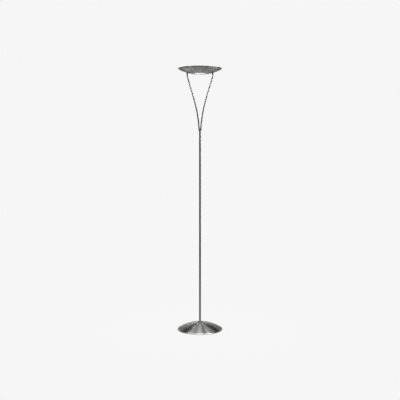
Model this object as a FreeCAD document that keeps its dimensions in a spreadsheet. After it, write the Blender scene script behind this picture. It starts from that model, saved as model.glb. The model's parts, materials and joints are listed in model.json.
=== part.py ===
"""A floor lamp that lights the ceiling, in millimetres, +Z up, with its origin on the floor under the stem.

The base is a spun dome over a cast weight. A threaded rod clamps the weight, the dome and the stem together.
The stem is two thin tubes with a nipple between them. On top of it a fork of two bent arms carries a shallow
spun bowl on two knuckles, so that the bowl tilts about the X axis. A light disc closes the bowl's bottom, and
a linear lamp lies across the bowl between two holders. Each side's lead runs from the terminal block in the
base up the rod, the stem and its arm, and through its hollow knuckle to its holder.
"""
import FreeCAD, Part
import math
import os
import re

import Sketcher
from FreeCAD import Placement, Rotation, Vector

# Driving dimensions, in millimetres and degrees
SIZES = {
    "overall_height": 1800,
    # what all fits share
    "fit_gap": 0.05,
    "free_gap": 0.3,
    "overrun": 5,
    # spun cover of the base
    "base_radius": 156,
    "base_edge_height": 6,
    "base_rim_bend": 3,
    "base_edge_lift": 1.4,
    "base_crown_height": 52,
    "crown_flat_radius": 16,
    "cover_wall": 1.5,
    # floor pad and cast weight
    "pad_thickness": 3,
    "pad_inset": 3,
    "weight_clearance": 1,
    "weight_edge": 12,
    "weight_rise": 14,
    "weight_top_radius": 60,
    "recess_radius": 46,
    "recess_depth": 18,
    "channel_width": 9,
    "channel_depth": 10.5,
    # threaded rod that clamps the base, with its nut, washer and sleeve
    "rod_radius": 4,
    "rod_bore_radius": 2.7,
    "rod_tail": 1.4,
    "nut_height": 5,
    "nut_corner_radius": 8,
    "washer_radius": 12,
    "washer_thickness": 1.6,
    "spacer_radius": 12,
    "collar_radius": 12,
    "collar_height": 9,
    "collar_edge": 2.5,
    "collar_top_wall": 1.8,
    # cord grommet at the back of the cover
    "grommet_height": 9.5,
    "grommet_radius": 5,
    "grommet_bore_radius": 3.3,
    "grommet_flange_radius": 6,
    "grommet_flange": 2,
    "grommet_length": 21,
    # terminal block under the weight
    "block_length": 26,
    "block_width": 16,
    "block_height": 12,
    "block_start": 18,
    "pole_spacing": 8,
    "pole_rise": 4,
    "sleeve_radius": 2.2,
    "sleeve_wall": 0.9,
    "sleeve_inset": 1,
    "clamp_radius": 1.1,
    "clamp_inset": 3.5,
    "clamp_sink": 0.4,
    "block_screw_radius": 1.3,
    "block_screw_head_radius": 2.3,
    "block_screw_head": 1.6,
    "block_screw_bite": 5,
    # earth tag under the washer
    "tag_radius": 7.5,
    "tag_thickness": 0.8,
    "tag_width": 5,
    "tag_reach": 13,
    # stem tubes, their bushes and the nipple
    "stem_radius": 6.35,
    "stem_wall": 1,
    "lower_stem_length": 588,
    "bush_length": 22,
    "nipple_length": 36,
    "tube_chamfer": 0.3,
    # fork joint
    "fork_drop": 390.8,
    "fork_taper": 12,
    "fork_collar": 8,
    "fork_wall": 0.7,
    "fork_half_width": 5.5,
    "fork_end_radius": 5.9,
    "socket_depth": 8.5,
    "spigot_length": 24,
    "fork_screw_radius": 1.5,
    "fork_screw_drop": 12,
    "fork_screw_start": 3.2,
    "lead_passage_radius": 1.6,
    "fork_bore_rise": 1,
    # arms
    "arm_radius": 4.75,
    "arm_wall": 1,
    "arm_entry_reach": 5.4,
    "arm_knee_reach": 13.6,
    "arm_knee_rise": 128,
    "arm_knee_radius": 980,
    "arm_head_drop": 18,
    "arm_head_radius": 30,
    # knuckles and the lugs that turn in them
    "pivot_reach": 86.5,
    "knuckle_radius": 6,
    "knuckle_foot_radius": 5.4,
    "knuckle_drop": 6,
    "knuckle_spigot": 6.5,
    "knuckle_waist_angle": 20,
    "trunnion_radius": 1.5,
    "trunnion_sink": 0.7,
    "lug_thickness": 6.2,
    "lug_barrel_radius": 3.5,
    "lug_shank_radius": 3,
    "lug_collar_radius": 5,
    "lug_collar": 0.8,
    "lug_nut_height": 4,
    "lug_nut_corner_radius": 5.6,
    "lug_tail": 1,
    "lead_sweep": 2.6,
    # spun bowl, its light disc and the clips
    "rim_radius": 148.4,
    "bowl_depth": 40.5,
    "rim_upturn": 5.3,
    "shoulder_width": 10.4,
    "bowl_wall": 1,
    "rim_bead_radius": 1.3,
    "opening_radius": 41,
    "flat_margin": 7.7,
    "disc_overlap": 4,
    "disc_thickness": 3,
    "disc_stand_out": 0.5,
    "clip_width": 8,
    "clip_thickness": 0.8,
    "clip_grip": 5,
    "clip_foot": 6,
    # lamp bracket, holders and linear lamp
    "bracket_overhang": 9,
    "bracket_width": 18,
    "bracket_thickness": 2,
    "lamp_lift": 12.3,
    "lamp_half_length": 57,
    "glass_radius": 5.5,
    "glass_wall": 0.9,
    "glass_half_length": 44,
    "pinch_radius": 2.8,
    "pinch_taper": 3,
    "pinch_length": 4,
    "cap_radius": 4,
    "cap_length": 8,
    "filament_radius": 0.9,
    "filament_tail_radius": 0.4,
    "filament_half_length": 35,
    "holder_length": 24,
    "holder_width": 14,
    "holder_rise": 7,
    "holder_back_wall": 4,
    "holder_cup_depth": 5,
    "holder_screw_radius": 1.5,
    "holder_screw_head_radius": 2.5,
    "holder_screw_head": 1.8,
    "holder_screw_bite": 5,
    "contact_radius": 1.6,
    "contact_length": 9,
    "contact_flange_radius": 2.5,
    "contact_flange": 1.5,
    "spring_wire_radius": 0.3,
    # leads
    "lead_radius": 1.05,
    "lead_pair_reach": 1.25,
    "lead_bend_radius": 4,
    "passage_bend_radius": 12,
    "head_lead_bend_radius": 6,
    "lead_low": 6.8,
    "lead_turn": 8.5,
    "lead_grip": 5,
    "lead_rise": 4,
    "lead_parting": 0.4,
    "earth_bend_radius": 2.5,
    "earth_rise": 2.4,
    "tag_grip": 3.6,
}

# Places and sizes that follow from the driving dimensions
PLACES = {
    "weight_low": "pad_thickness",
    "weight_radius": "base_radius - grommet_length - weight_clearance",
    "weight_top": "pad_thickness + weight_edge + weight_rise",
    "recess_top": "pad_thickness + recess_depth",
    "crown_centre": "(base_crown_height^2 - base_edge_height^2 + crown_flat_radius^2 - base_radius^2)"
                    " / 2 / (base_crown_height - base_edge_height)",
    "crown_sphere": "sqrt(crown_flat_radius^2 + (base_crown_height - crown_centre)^2)",
    "cover_inner_sphere": "crown_sphere - cover_wall",
    "cover_inner_radius": "base_radius - cover_wall",
    "rim_bend_reach": "base_radius - base_rim_bend",
    "rim_bend_height": "crown_centre + sqrt((crown_sphere - base_rim_bend)^2 - rim_bend_reach^2)",
    "rim_bend_growth": "crown_sphere / (crown_sphere - base_rim_bend)",
    "rim_end_radius": "rim_bend_reach * rim_bend_growth",
    "rim_end_height": "crown_centre + (rim_bend_height - crown_centre) * rim_bend_growth",
    "inner_bend": "base_rim_bend - cover_wall",
    "inner_bend_growth": "cover_inner_sphere / (cover_inner_sphere - inner_bend)",
    "inner_end_radius": "rim_bend_reach * inner_bend_growth",
    "inner_end_height": "crown_centre + (rim_bend_height - crown_centre) * inner_bend_growth",
    "cover_inner_crown": "base_crown_height - cover_wall",
    "cover_inner_flat": "sqrt(cover_inner_sphere^2 - (cover_inner_crown - crown_centre)^2)",
    "rod_hole_radius": "rod_radius + fit_gap",
    "nut_top": "recess_top - washer_thickness - tag_thickness",
    "rod_low": "nut_top - nut_height - rod_tail",
    "rod_top": "base_crown_height + bush_length - free_gap",
    "stem_bore_radius": "stem_radius - stem_wall",
    "bush_radius": "stem_bore_radius - fit_gap",
    "block_low": "recess_top - block_height",
    "block_middle": "block_start + block_width / 2",
    "block_end": "block_start + block_width",
    "pole_height": "block_low + pole_rise",
    "sleeve_bore_radius": "sleeve_radius - sleeve_wall",
    "stem_split": "base_crown_height + lower_stem_length",
    "bowl_low": "overall_height - bowl_depth",
    "bowl_curve_depth": "bowl_depth - rim_upturn",
    "bowl_sphere": "(rim_radius^2 + bowl_curve_depth^2) / 2 / bowl_curve_depth",
    "bowl_inner_sphere": "bowl_sphere - bowl_wall",
    "bowl_centre": "bowl_low + bowl_sphere",
    "shoulder_reach": "rim_radius - shoulder_width",
    "shoulder_height": "bowl_centre - sqrt(bowl_sphere^2 - shoulder_reach^2)",
    "shoulder_rise": "overall_height - shoulder_height",
    "shoulder_drop": "bowl_centre - shoulder_height",
    "shoulder_radius": "(shoulder_width^2 + shoulder_rise^2) * bowl_sphere / 2"
                       " / (shoulder_rise * shoulder_drop - shoulder_width * shoulder_reach)",
    "shoulder_centre_reach": "shoulder_reach * (1 - shoulder_radius / bowl_sphere)",
    "shoulder_centre_height": "shoulder_height + shoulder_drop * shoulder_radius / bowl_sphere",
    "shoulder_inner_radius": "shoulder_radius - bowl_wall",
    "shoulder_inner_reach": "shoulder_reach * bowl_inner_sphere / bowl_sphere",
    "shoulder_inner_height": "bowl_centre - sqrt(bowl_inner_sphere^2 - shoulder_inner_reach^2)",
    "bowl_inner_rim_radius": "shoulder_centre_reach"
                             " + sqrt(shoulder_inner_radius^2 - (shoulder_centre_height - overall_height)^2)",
    "disc_radius": "opening_radius + disc_overlap",
    "flat_radius": "disc_radius + free_gap + clip_foot + flat_margin",
    "flat_height": "bowl_centre - sqrt(bowl_sphere^2 - flat_radius^2)",
    "flat_inner_height": "flat_height + bowl_wall",
    "flat_inner_radius": "sqrt(bowl_inner_sphere^2 - (bowl_centre - flat_inner_height)^2)",
    "disc_low": "flat_inner_height + fit_gap",
    "disc_top": "disc_low + disc_thickness",
    "disc_step_low": "flat_height - disc_stand_out",
    "disc_step_radius": "opening_radius - free_gap",
    "clip_start": "disc_radius - clip_grip",
    "clip_end": "disc_radius + free_gap + clip_foot",
    "clip_low": "disc_top + fit_gap",
    "lug_collar_top": "bowl_centre - sqrt(bowl_sphere^2 - (pivot_reach - lug_collar_radius)^2) - fit_gap",
    "knuckle_top": "sqrt(knuckle_radius^2 - (lug_thickness / 2 + free_gap)^2)",
    "pivot_height": "lug_collar_top - lug_collar - free_gap - fit_gap * 2 - knuckle_top",
    "stem_top": "pivot_height - fork_drop",
    "fork_shoulder": "stem_top + fork_taper",
    "fork_top": "fork_shoulder + fork_collar",
    "socket_low": "fork_top - socket_depth",
    "socket_radius": "arm_radius + fit_gap",
    "arm_knee_height": "stem_top + arm_knee_rise",
    "arm_head_height": "pivot_height - arm_head_drop",
    "arm_top": "pivot_height - knuckle_drop",
    "arm_bore_radius": "arm_radius - arm_wall",
    "entry_lean": "(arm_knee_reach - arm_entry_reach) / (arm_knee_height - socket_low)",
    "entry_angle": "atan(entry_lean)",
    "arm_angle": "atan((pivot_reach - arm_knee_reach) / (arm_head_height - arm_knee_height))",
    "passage_angle": "atan((arm_entry_reach - lead_pair_reach) / (socket_low - stem_top))",
    "head_tangent": "arm_head_radius * tan(arm_angle / 2)",
    "knee_tangent": "arm_knee_radius * tan((arm_angle - entry_angle) / 2)",
    "fork_reach": "arm_entry_reach + entry_lean * socket_depth",
    "fork_half_length": "fork_reach + socket_radius + fork_wall",
    "fork_end_sagitta": "fork_end_radius - sqrt(fork_end_radius^2 - fork_half_width^2)",
    "lug_top": "bracket_top + lug_nut_height + lug_tail",
    "bracket_end": "pivot_reach + bracket_overhang",
    "bracket_low": "bowl_centre - sqrt(bowl_inner_sphere^2 - bracket_end^2 - bracket_width^2 / 4) + fit_gap",
    "bracket_top": "bracket_low + bracket_thickness",
    "lamp_height": "bracket_top + lamp_lift",
    "cap_start": "lamp_half_length - cap_length",
    "pinch_start": "glass_half_length + pinch_taper",
    "pinch_end": "pinch_start + pinch_length",
    "holder_start": "lamp_half_length - holder_cup_depth + free_gap",
    "holder_end": "holder_start + holder_length",
    "holder_top": "lamp_height + holder_rise",
    "holder_screw_reach": "holder_start + holder_length / 2",
    "contact_start": "lamp_half_length + fit_gap",
    "contact_end": "contact_start + contact_length",
    "contact_flange_start": "contact_end - contact_flange",
    "spring_end": "holder_end - holder_back_wall",
}

ALONG_X = Rotation(Vector(0, 1, 0), 90)
ALONG_MINUS_X = Rotation(Vector(0, 1, 0), -90)
ALONG_Y = Rotation(Vector(1, 0, 0), -90)
UPRIGHT = Rotation()
SIDES = {"left": -1, "right": 1}
CLIP_COUNT = 3
FIRST_CLIP_TURN = 90
SPRING_TURNS = 5
BULGE_LEFT = 1
BULGE_RIGHT = -1

document = FreeCAD.newDocument("FloorLamp")
nodes = {}


def write_sheet(name, cells):
    """Fill a sheet with one named cell per row."""
    sheet = document.addObject("Spreadsheet::Sheet", name)
    for row, (alias, content) in enumerate(cells.items(), start=1):
        sheet.set(f"A{row}", alias)
        sheet.set(f"B{row}", content)
        sheet.setAlias(f"B{row}", alias)
    document.recompute()
    return sheet


def formula(text):
    """Point every size and place that a formula names at its cell."""
    def qualified(match):
        word = match.group(0)
        if word in SIZES:
            return f"Sizes.{word}"
        if word in PLACES:
            return f"Places.{word}"
        return word
    return re.sub(r"[a-z_]+", qualified, str(text))


sizes = write_sheet("Sizes", {alias: str(number) for alias, number in SIZES.items()})
places = write_sheet("Places", {alias: "=" + formula(text) for alias, text in PLACES.items()})


def value(text):
    """The number that a formula comes to."""
    result = sizes.evalExpression(formula(text))
    return float(getattr(result, "Value", result))


def point(place):
    """The point at a place of three formulas."""
    return Vector(*(value(text) for text in place))


def named(item, label):
    """Keep an item as the piece with this name."""
    item.Label = label
    nodes[label] = item
    return item


def put(item, place, turn=UPRIGHT):
    """Set an item down at a place of three formulas, turned as asked."""
    item.Placement = Placement(Vector(), turn)
    for axis, text in zip("xyz", place):
        item.setExpression(f"Placement.Base.{axis}", formula(text))
    return item


def sized(item, **lengths):
    """Tie the item's own lengths to formulas."""
    for name, text in lengths.items():
        item.setExpression(name, formula(text))
    return item


# Sketches and bodies

def new_body(label):
    """An empty body that becomes the piece with this name."""
    return named(document.addObject("PartDesign::Body", label), label)


def new_sketch(body, name, role, offset="0"):
    """A sketch on one of the body's own planes, moved off it by an offset."""
    sketch = body.newObject("Sketcher::SketchObject", name)
    plane = next(feature for feature in body.Origin.OriginFeatures if feature.Role == role)
    sketch.AttachmentSupport = [(plane, "")]
    sketch.MapMode = "FlatFace"
    if offset != "0":
        sketch.setExpression("AttachmentOffset.Base.z", formula(offset))
    return sketch


def pin_point(sketch, edge, end, across, up):
    """Hold one end of an edge at two formulas from the sketch's origin."""
    for kind, text in (("DistanceX", across), ("DistanceY", up)):
        index = sketch.addConstraint(Sketcher.Constraint(kind, -1, 1, edge, end, value(text)))
        sketch.setExpression(f"Constraints[{index}]", formula(text))


def bulge_point(start, finish, radius, side):
    """The middle of the arc of this radius from start to finish, bulging left or right of the way there."""
    chord = finish - start
    sagitta = radius - math.sqrt(radius ** 2 - chord.Length ** 2 / 4)
    across = Vector(-chord.y, chord.x, 0).normalize()
    return (start + finish) * 0.5 + across * (side * sagitta)


def draw_outline(sketch, outline, closed=True):
    """Draw lines and arcs through corners, each (across, up) or (across, up, radius, side) where an arc starts."""
    corners = [Vector(value(corner[0]), value(corner[1]), 0) for corner in outline]
    edge_count = len(outline) if closed else len(outline) - 1
    ends = []
    for index in range(edge_count):
        start = corners[index]
        finish = corners[(index + 1) % len(outline)]
        if len(outline[index]) == 2:
            edge = sketch.addGeometry(Part.LineSegment(start, finish))
            ends.append((edge, 1, 2))
            continue
        _, _, radius, side = outline[index]
        middle = bulge_point(start, finish, value(radius), side)
        if side == BULGE_RIGHT:
            edge = sketch.addGeometry(Part.Arc(start, middle, finish))
            ends.append((edge, 1, 2))
        else:
            edge = sketch.addGeometry(Part.Arc(finish, middle, start))
            ends.append((edge, 2, 1))
    for index in range(edge_count - (0 if closed else 1)):
        edge, _, last = ends[index]
        following, first, _ = ends[(index + 1) % len(ends)]
        sketch.addConstraint(Sketcher.Constraint("Coincident", edge, last, following, first))
    for index, corner in enumerate(outline):
        if index < edge_count:
            edge, first, _ = ends[index]
            pin_point(sketch, edge, first, corner[0], corner[1])
        else:
            edge, _, last = ends[-1]
            pin_point(sketch, edge, last, corner[0], corner[1])
    for index in range(edge_count):
        if len(outline[index]) == 4:
            radius = outline[index][2]
            bend = sketch.addConstraint(Sketcher.Constraint("Radius", ends[index][0], value(radius)))
            sketch.setExpression(f"Constraints[{bend}]", formula(radius))


def draw_circle(sketch, across, up, radius):
    """Draw a circle whose centre and radius are formulas."""
    centre = Vector(value(across), value(up), 0)
    edge = sketch.addGeometry(Part.Circle(centre, Vector(0, 0, 1), value(radius)))
    pin_point(sketch, edge, 3, across, up)
    size = sketch.addConstraint(Sketcher.Constraint("Radius", edge, value(radius)))
    sketch.setExpression(f"Constraints[{size}]", formula(radius))


def turned(label, outline):
    """A piece turned about the Z axis from an outline of (radius, height) corners."""
    body = new_body(label)
    sketch = new_sketch(body, f"{label}_outline", "XZ_Plane")
    draw_outline(sketch, outline)
    turn = body.newObject("PartDesign::Revolution", f"{label}_turn")
    turn.Profile = sketch
    turn.ReferenceAxis = (sketch, ["V_Axis"])
    turn.Angle = 360
    return body


def sleeve(label, inner, outer, low, high):
    """A plain tube or ring about the Z axis."""
    return turned(label, [(inner, low), (outer, low), (outer, high), (inner, high)])


def add_box(body, name, corner, size, cut=False):
    """Add a block to a body, or cut it away."""
    kind = "SubtractiveBox" if cut else "AdditiveBox"
    box = body.newObject(f"PartDesign::{kind}", name)
    sized(box, Length=size[0], Width=size[1], Height=size[2])
    return put(box, corner)


def add_cylinder(body, name, radius, length, start, turn=UPRIGHT, cut=False):
    """Add a round bar to a body, or bore it away."""
    kind = "SubtractiveCylinder" if cut else "AdditiveCylinder"
    bar = body.newObject(f"PartDesign::{kind}", name)
    sized(bar, Radius=radius, Height=length)
    return put(bar, start, turn)


# Plain solids and groups

def round_bar(name, radius, length, start, turn=UPRIGHT):
    """A plain round bar that starts at a place."""
    bar = document.addObject("Part::Cylinder", name)
    sized(bar, Radius=radius, Height=length)
    return put(bar, start, turn)


def block(name, corner, size):
    """A plain block from its low corner."""
    box = document.addObject("Part::Box", name)
    sized(box, Length=size[0], Width=size[1], Height=size[2])
    return put(box, corner)


def joined(name, items):
    """Several solids joined into one."""
    union = document.addObject("Part::MultiFuse", name)
    union.Shapes = items
    return union


def cut_from(name, base, tool):
    """What is left of a solid when a tool is taken away."""
    cut = document.addObject("Part::Cut", name)
    cut.Base = base
    cut.Tool = tool
    return cut


def group(label, items):
    """Like pieces that share one name and stay separate solids."""
    bundle = document.addObject("Part::Compound", label)
    bundle.Links = items
    return named(bundle, label)


def hex_nut(name, corner_radius, bore, height, place):
    """A hexagon nut whose bore is along Z."""
    prism = document.addObject("Part::Prism", f"{name}_hexagon")
    prism.Polygon = 6
    sized(prism, Circumradius=corner_radius, Height=height)
    put(prism, place)
    hole = round_bar(f"{name}_bore", bore, height, place)
    return cut_from(name, prism, hole)


# Base

def make_floor_pad():
    pad = round_bar("floor_pad", "cover_inner_radius - pad_inset", "pad_thickness", ("0", "0", "0"))
    named(pad, "floor_pad")


def make_base_weight():
    body = turned("base_weight", [
        ("rod_hole_radius", "recess_top"),
        ("recess_radius", "recess_top"),
        ("recess_radius", "weight_low"),
        ("weight_radius", "weight_low"),
        ("weight_radius", "weight_low + weight_edge"),
        ("weight_top_radius", "weight_top"),
        ("rod_hole_radius", "weight_top"),
    ])
    add_box(body, "cord_channel", ("-channel_width / 2", "recess_radius - overrun", "weight_low - overrun"),
            ("channel_width", "weight_radius - recess_radius + 2 * overrun", "channel_depth + overrun"), cut=True)
    for side in SIDES.values():
        add_cylinder(body, "block_screw_hole", "block_screw_radius + fit_gap",
                     "block_screw_bite + free_gap + overrun",
                     (f"{side} * pole_spacing / 2", "block_middle", "recess_top - overrun"), cut=True)


def make_base_cover():
    body = turned("base_cover", [
        ("cover_inner_radius", "base_edge_lift"),
        ("base_radius", "base_edge_lift"),
        ("base_radius", "rim_bend_height", "base_rim_bend", BULGE_RIGHT),
        ("rim_end_radius", "rim_end_height", "crown_sphere", BULGE_RIGHT),
        ("crown_flat_radius", "base_crown_height"),
        ("rod_hole_radius", "base_crown_height"),
        ("rod_hole_radius", "cover_inner_crown"),
        ("cover_inner_flat", "cover_inner_crown", "cover_inner_sphere", BULGE_LEFT),
        ("inner_end_radius", "inner_end_height", "inner_bend", BULGE_LEFT),
        ("cover_inner_radius", "rim_bend_height"),
    ])
    add_cylinder(body, "cord_hole", "grommet_radius + fit_gap", "grommet_length + overrun",
                 ("0", "base_radius - grommet_length", "grommet_height"), ALONG_Y, cut=True)


def make_cord_grommet():
    grommet = turned("cord_grommet", [
        ("grommet_bore_radius", "0"),
        ("grommet_flange_radius", "0"),
        ("grommet_flange_radius", "grommet_flange"),
        ("grommet_radius", "grommet_flange"),
        ("grommet_radius", "grommet_length"),
        ("grommet_bore_radius", "grommet_length"),
    ])
    put(grommet, ("0", "base_radius - grommet_length", "grommet_height"), ALONG_Y)


def make_clamping_parts():
    sleeve("base_spacer", "rod_hole_radius", "spacer_radius", "weight_top", "cover_inner_crown")
    sleeve("base_rod", "rod_bore_radius", "rod_radius", "rod_low", "rod_top")
    sleeve("rod_washer", "rod_hole_radius", "washer_radius", "recess_top - washer_thickness", "recess_top")
    nut = hex_nut("rod_nut", "nut_corner_radius", "rod_hole_radius", "nut_height",
                  ("0", "0", "nut_top - nut_height"))
    named(nut, "rod_nut")


def make_earth_tag():
    ring = round_bar("tag_ring", "tag_radius", "tag_thickness", ("0", "0", "nut_top"))
    tab = block("tag_tab", ("-tag_width / 2", "0", "nut_top"), ("tag_width", "tag_reach", "tag_thickness"))
    hole = round_bar("tag_hole", "rod_hole_radius", "tag_thickness", ("0", "0", "nut_top"))
    named(cut_from("earth_tag", joined("tag_blank", [ring, tab]), hole), "earth_tag")


def make_stem_collar():
    turned("stem_collar", [
        ("stem_radius + fit_gap", "base_crown_height"),
        ("collar_radius", "base_crown_height"),
        ("collar_radius", "base_crown_height + collar_edge", "collar_height", BULGE_RIGHT),
        ("stem_radius + collar_top_wall", "base_crown_height + collar_height"),
        ("stem_radius + fit_gap", "base_crown_height + collar_height"),
    ])


# Terminal block

def make_terminal_block():
    body = new_body("terminal_block")
    add_box(body, "block_body", ("-block_length / 2", "block_start", "block_low"),
            ("block_length", "block_width", "block_height"))
    sleeves = []
    clamps = []
    for pole in (-1, 0, 1):
        across = f"{pole} * pole_spacing"
        add_cylinder(body, "pole_bore", "sleeve_radius + fit_gap", "block_width + 2 * overrun",
                     (across, "block_start - overrun", "pole_height"), ALONG_Y, cut=True)
        start = (across, "block_start + sleeve_inset", "pole_height")
        outside = round_bar("sleeve_outside", "sleeve_radius", "block_width - 2 * sleeve_inset", start, ALONG_Y)
        inside = round_bar("sleeve_inside", "sleeve_bore_radius", "block_width - 2 * sleeve_inset", start, ALONG_Y)
        sleeves.append(cut_from("sleeve", outside, inside))
        for along in ("block_start + clamp_inset", "block_end - clamp_inset"):
            add_cylinder(body, "clamp_bore", "clamp_radius + fit_gap", "pole_rise",
                         (across, along, "block_low"), cut=True)
            clamps.append(round_bar("clamp", "clamp_radius", "pole_rise - sleeve_radius - clamp_sink - fit_gap",
                                    (across, along, "block_low + clamp_sink")))
    screws = []
    for side in SIDES.values():
        across = f"{side} * pole_spacing / 2"
        add_cylinder(body, "screw_bore", "block_screw_radius + fit_gap", "block_height + 2 * overrun",
                     (across, "block_middle", "block_low - overrun"), cut=True)
        head = round_bar("screw_head", "block_screw_head_radius", "block_screw_head",
                         (across, "block_middle", "block_low - block_screw_head"))
        shank = round_bar("screw_shank", "block_screw_radius", "block_height + block_screw_bite",
                          (across, "block_middle", "block_low"))
        screws.append(joined("block_screw", [head, shank]))
    group("terminal_sleeves", sleeves)
    group("terminal_clamps", clamps)
    group("terminal_screws", screws)


# Stem

def make_stem():
    chamfer_radius = "stem_radius - tube_chamfer"
    turned("lower_stem_tube", [
        ("stem_bore_radius", "base_crown_height"),
        ("stem_radius", "base_crown_height"),
        ("stem_radius", "stem_split - tube_chamfer"),
        (chamfer_radius, "stem_split"),
        ("stem_bore_radius", "stem_split"),
    ])
    upper = turned("upper_stem_tube", [
        ("stem_bore_radius", "stem_split"),
        (chamfer_radius, "stem_split"),
        ("stem_radius", "stem_split + tube_chamfer"),
        ("stem_radius", "stem_top"),
        ("stem_bore_radius", "stem_top"),
    ])
    add_cylinder(upper, "fork_screw_hole", "fork_screw_radius + fit_gap", "stem_radius + overrun",
                 ("0", "0", "stem_top - fork_screw_drop"), ALONG_Y, cut=True)
    sleeve("stem_foot_bush", "rod_hole_radius", "bush_radius", "base_crown_height",
           "base_crown_height + bush_length")
    sleeve("lower_joint_bush", "rod_hole_radius", "bush_radius", "stem_split - bush_length", "stem_split")
    sleeve("upper_joint_bush", "rod_hole_radius", "bush_radius", "stem_split", "stem_split + bush_length")
    sleeve("stem_nipple", "rod_bore_radius", "rod_radius", "stem_split - nipple_length / 2",
           "stem_split + nipple_length / 2")


# Fork

def make_fork_joint():
    body = new_body("fork_joint")
    slant = "stem_radius * sqrt(0.5)"
    reach = "(fork_half_length - fork_end_sagitta)"
    foot = new_sketch(body, "fork_foot_outline", "XY_Plane", "stem_top")
    draw_outline(foot, [
        (f"-{slant}", f"-{slant}", "stem_radius", BULGE_RIGHT),
        (slant, f"-{slant}", "stem_radius", BULGE_RIGHT),
        (slant, slant, "stem_radius", BULGE_RIGHT),
        (f"-{slant}", slant, "stem_radius", BULGE_RIGHT),
    ])
    shoulder = new_sketch(body, "fork_shoulder_outline", "XY_Plane", "fork_shoulder")
    draw_outline(shoulder, [
        (f"-{reach}", "-fork_half_width"),
        (reach, "-fork_half_width", "fork_end_radius", BULGE_RIGHT),
        (reach, "fork_half_width"),
        (f"-{reach}", "fork_half_width", "fork_end_radius", BULGE_RIGHT),
    ])
    taper = body.newObject("PartDesign::AdditiveLoft", "fork_taper_loft")
    taper.Profile = foot
    taper.Sections = [shoulder]
    taper.Ruled = True
    collar = body.newObject("PartDesign::Pad", "fork_collar_pad")
    collar.Profile = shoulder
    sized(collar, Length="fork_collar")
    add_cylinder(body, "fork_spigot", "bush_radius", "spigot_length + fork_taper / 2",
                 ("0", "0", "stem_top - spigot_length"))
    add_cylinder(body, "fork_bore", "rod_bore_radius", "spigot_length + overrun + fork_bore_rise",
                 ("0", "0", "stem_top - spigot_length - overrun"), cut=True)
    for side in SIDES.values():
        socket = add_cylinder(body, "arm_socket", "socket_radius", "socket_depth + overrun",
                              (f"{side} * arm_entry_reach", "0", "socket_low"), cut=True)
        lean(socket, side, "entry_angle")
        passage = add_cylinder(body, "lead_passage", "lead_passage_radius", "fork_taper + fork_collar",
                               (f"{side} * lead_pair_reach", "0", "stem_top"), cut=True)
        lean(passage, side, "passage_angle")
    add_cylinder(body, "fork_screw_hole", "fork_screw_radius + fit_gap", "stem_radius + overrun",
                 ("0", "0", "stem_top - fork_screw_drop"), ALONG_Y, cut=True)
    screw = round_bar("fork_screw", "fork_screw_radius", "stem_radius - fork_screw_start",
                      ("0", "fork_screw_start", "stem_top - fork_screw_drop"), ALONG_Y)
    named(screw, "fork_screw")


def lean(item, side, angle):
    """Lean an upright item outwards, to the left (-1) or right (1), by the angle that a formula gives."""
    item.Placement = Placement(item.Placement.Base, Rotation(Vector(0, side, 0), value(angle)))
    item.setExpression("Placement.Rotation.Angle", formula(angle))


def make_arm(name, side):
    body = new_body(f"{name}_arm")
    path = new_sketch(body, f"{name}_arm_path", "XZ_Plane")
    draw_outline(path, [
        (f"{side} * pivot_reach", "arm_top"),
        (f"{side} * pivot_reach", "arm_head_height + head_tangent", "arm_head_radius", side),
        (f"{side} * (pivot_reach - head_tangent * sin(arm_angle))",
         "arm_head_height - head_tangent * cos(arm_angle)"),
        (f"{side} * (arm_knee_reach + knee_tangent * sin(arm_angle))",
         "arm_knee_height + knee_tangent * cos(arm_angle)", "arm_knee_radius", -side),
        (f"{side} * (arm_knee_reach - knee_tangent * sin(entry_angle))",
         "arm_knee_height - knee_tangent * cos(entry_angle)"),
        (f"{side} * arm_entry_reach", "socket_low"),
    ], closed=False)
    ring = new_sketch(body, f"{name}_arm_ring", "XY_Plane", "arm_top")
    draw_circle(ring, f"{side} * pivot_reach", "0", "arm_radius")
    draw_circle(ring, f"{side} * pivot_reach", "0", "arm_bore_radius")
    pipe = body.newObject("PartDesign::AdditivePipe", f"{name}_arm_pipe")
    pipe.Profile = ring
    pipe.Spine = (path, [])


# Knuckles

def make_knuckle(name, side):
    waist = "(knuckle_waist_angle * 1deg)"
    spigot = "arm_bore_radius - fit_gap"
    body = turned(f"{name}_knuckle", [
        ("lead_passage_radius", "-knuckle_drop - knuckle_spigot"),
        (spigot, "-knuckle_drop - knuckle_spigot"),
        (spigot, "-knuckle_drop"),
        ("knuckle_foot_radius", "-knuckle_drop"),
        (f"knuckle_radius * cos{waist}", f"-knuckle_radius * sin{waist}", "knuckle_radius", BULGE_RIGHT),
        ("lead_passage_radius", "sqrt(knuckle_radius^2 - lead_passage_radius^2)"),
    ])
    slot = "(lug_thickness + 2 * free_gap)"
    add_box(body, "lug_slot",
            (f"-{slot} / 2", "-knuckle_radius - overrun", "-lug_barrel_radius - free_gap"),
            (slot, "2 * (knuckle_radius + overrun)", "lug_barrel_radius + knuckle_radius + overrun"), cut=True)
    add_cylinder(body, "trunnion_hole", "trunnion_radius + fit_gap", "2 * (knuckle_radius + overrun)",
                 ("-knuckle_radius - overrun", "0", "0"), ALONG_X, cut=True)
    put(body, (f"{side} * pivot_reach", "0", "pivot_height"))


def make_trunnions():
    pins = []
    length = "(sqrt(knuckle_radius^2 - trunnion_radius^2) - trunnion_sink - lead_passage_radius - free_gap)"
    for side in SIDES.values():
        pins.append(round_bar("trunnion", "trunnion_radius", length,
                              (f"{side} * pivot_reach + lead_passage_radius + free_gap", "0", "pivot_height"),
                              ALONG_X))
        pins.append(round_bar("trunnion", "trunnion_radius", length,
                              (f"{side} * pivot_reach - lead_passage_radius - free_gap - {length}",
                               "0", "pivot_height"), ALONG_X))
    group("knuckle_trunnions", pins)


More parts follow.
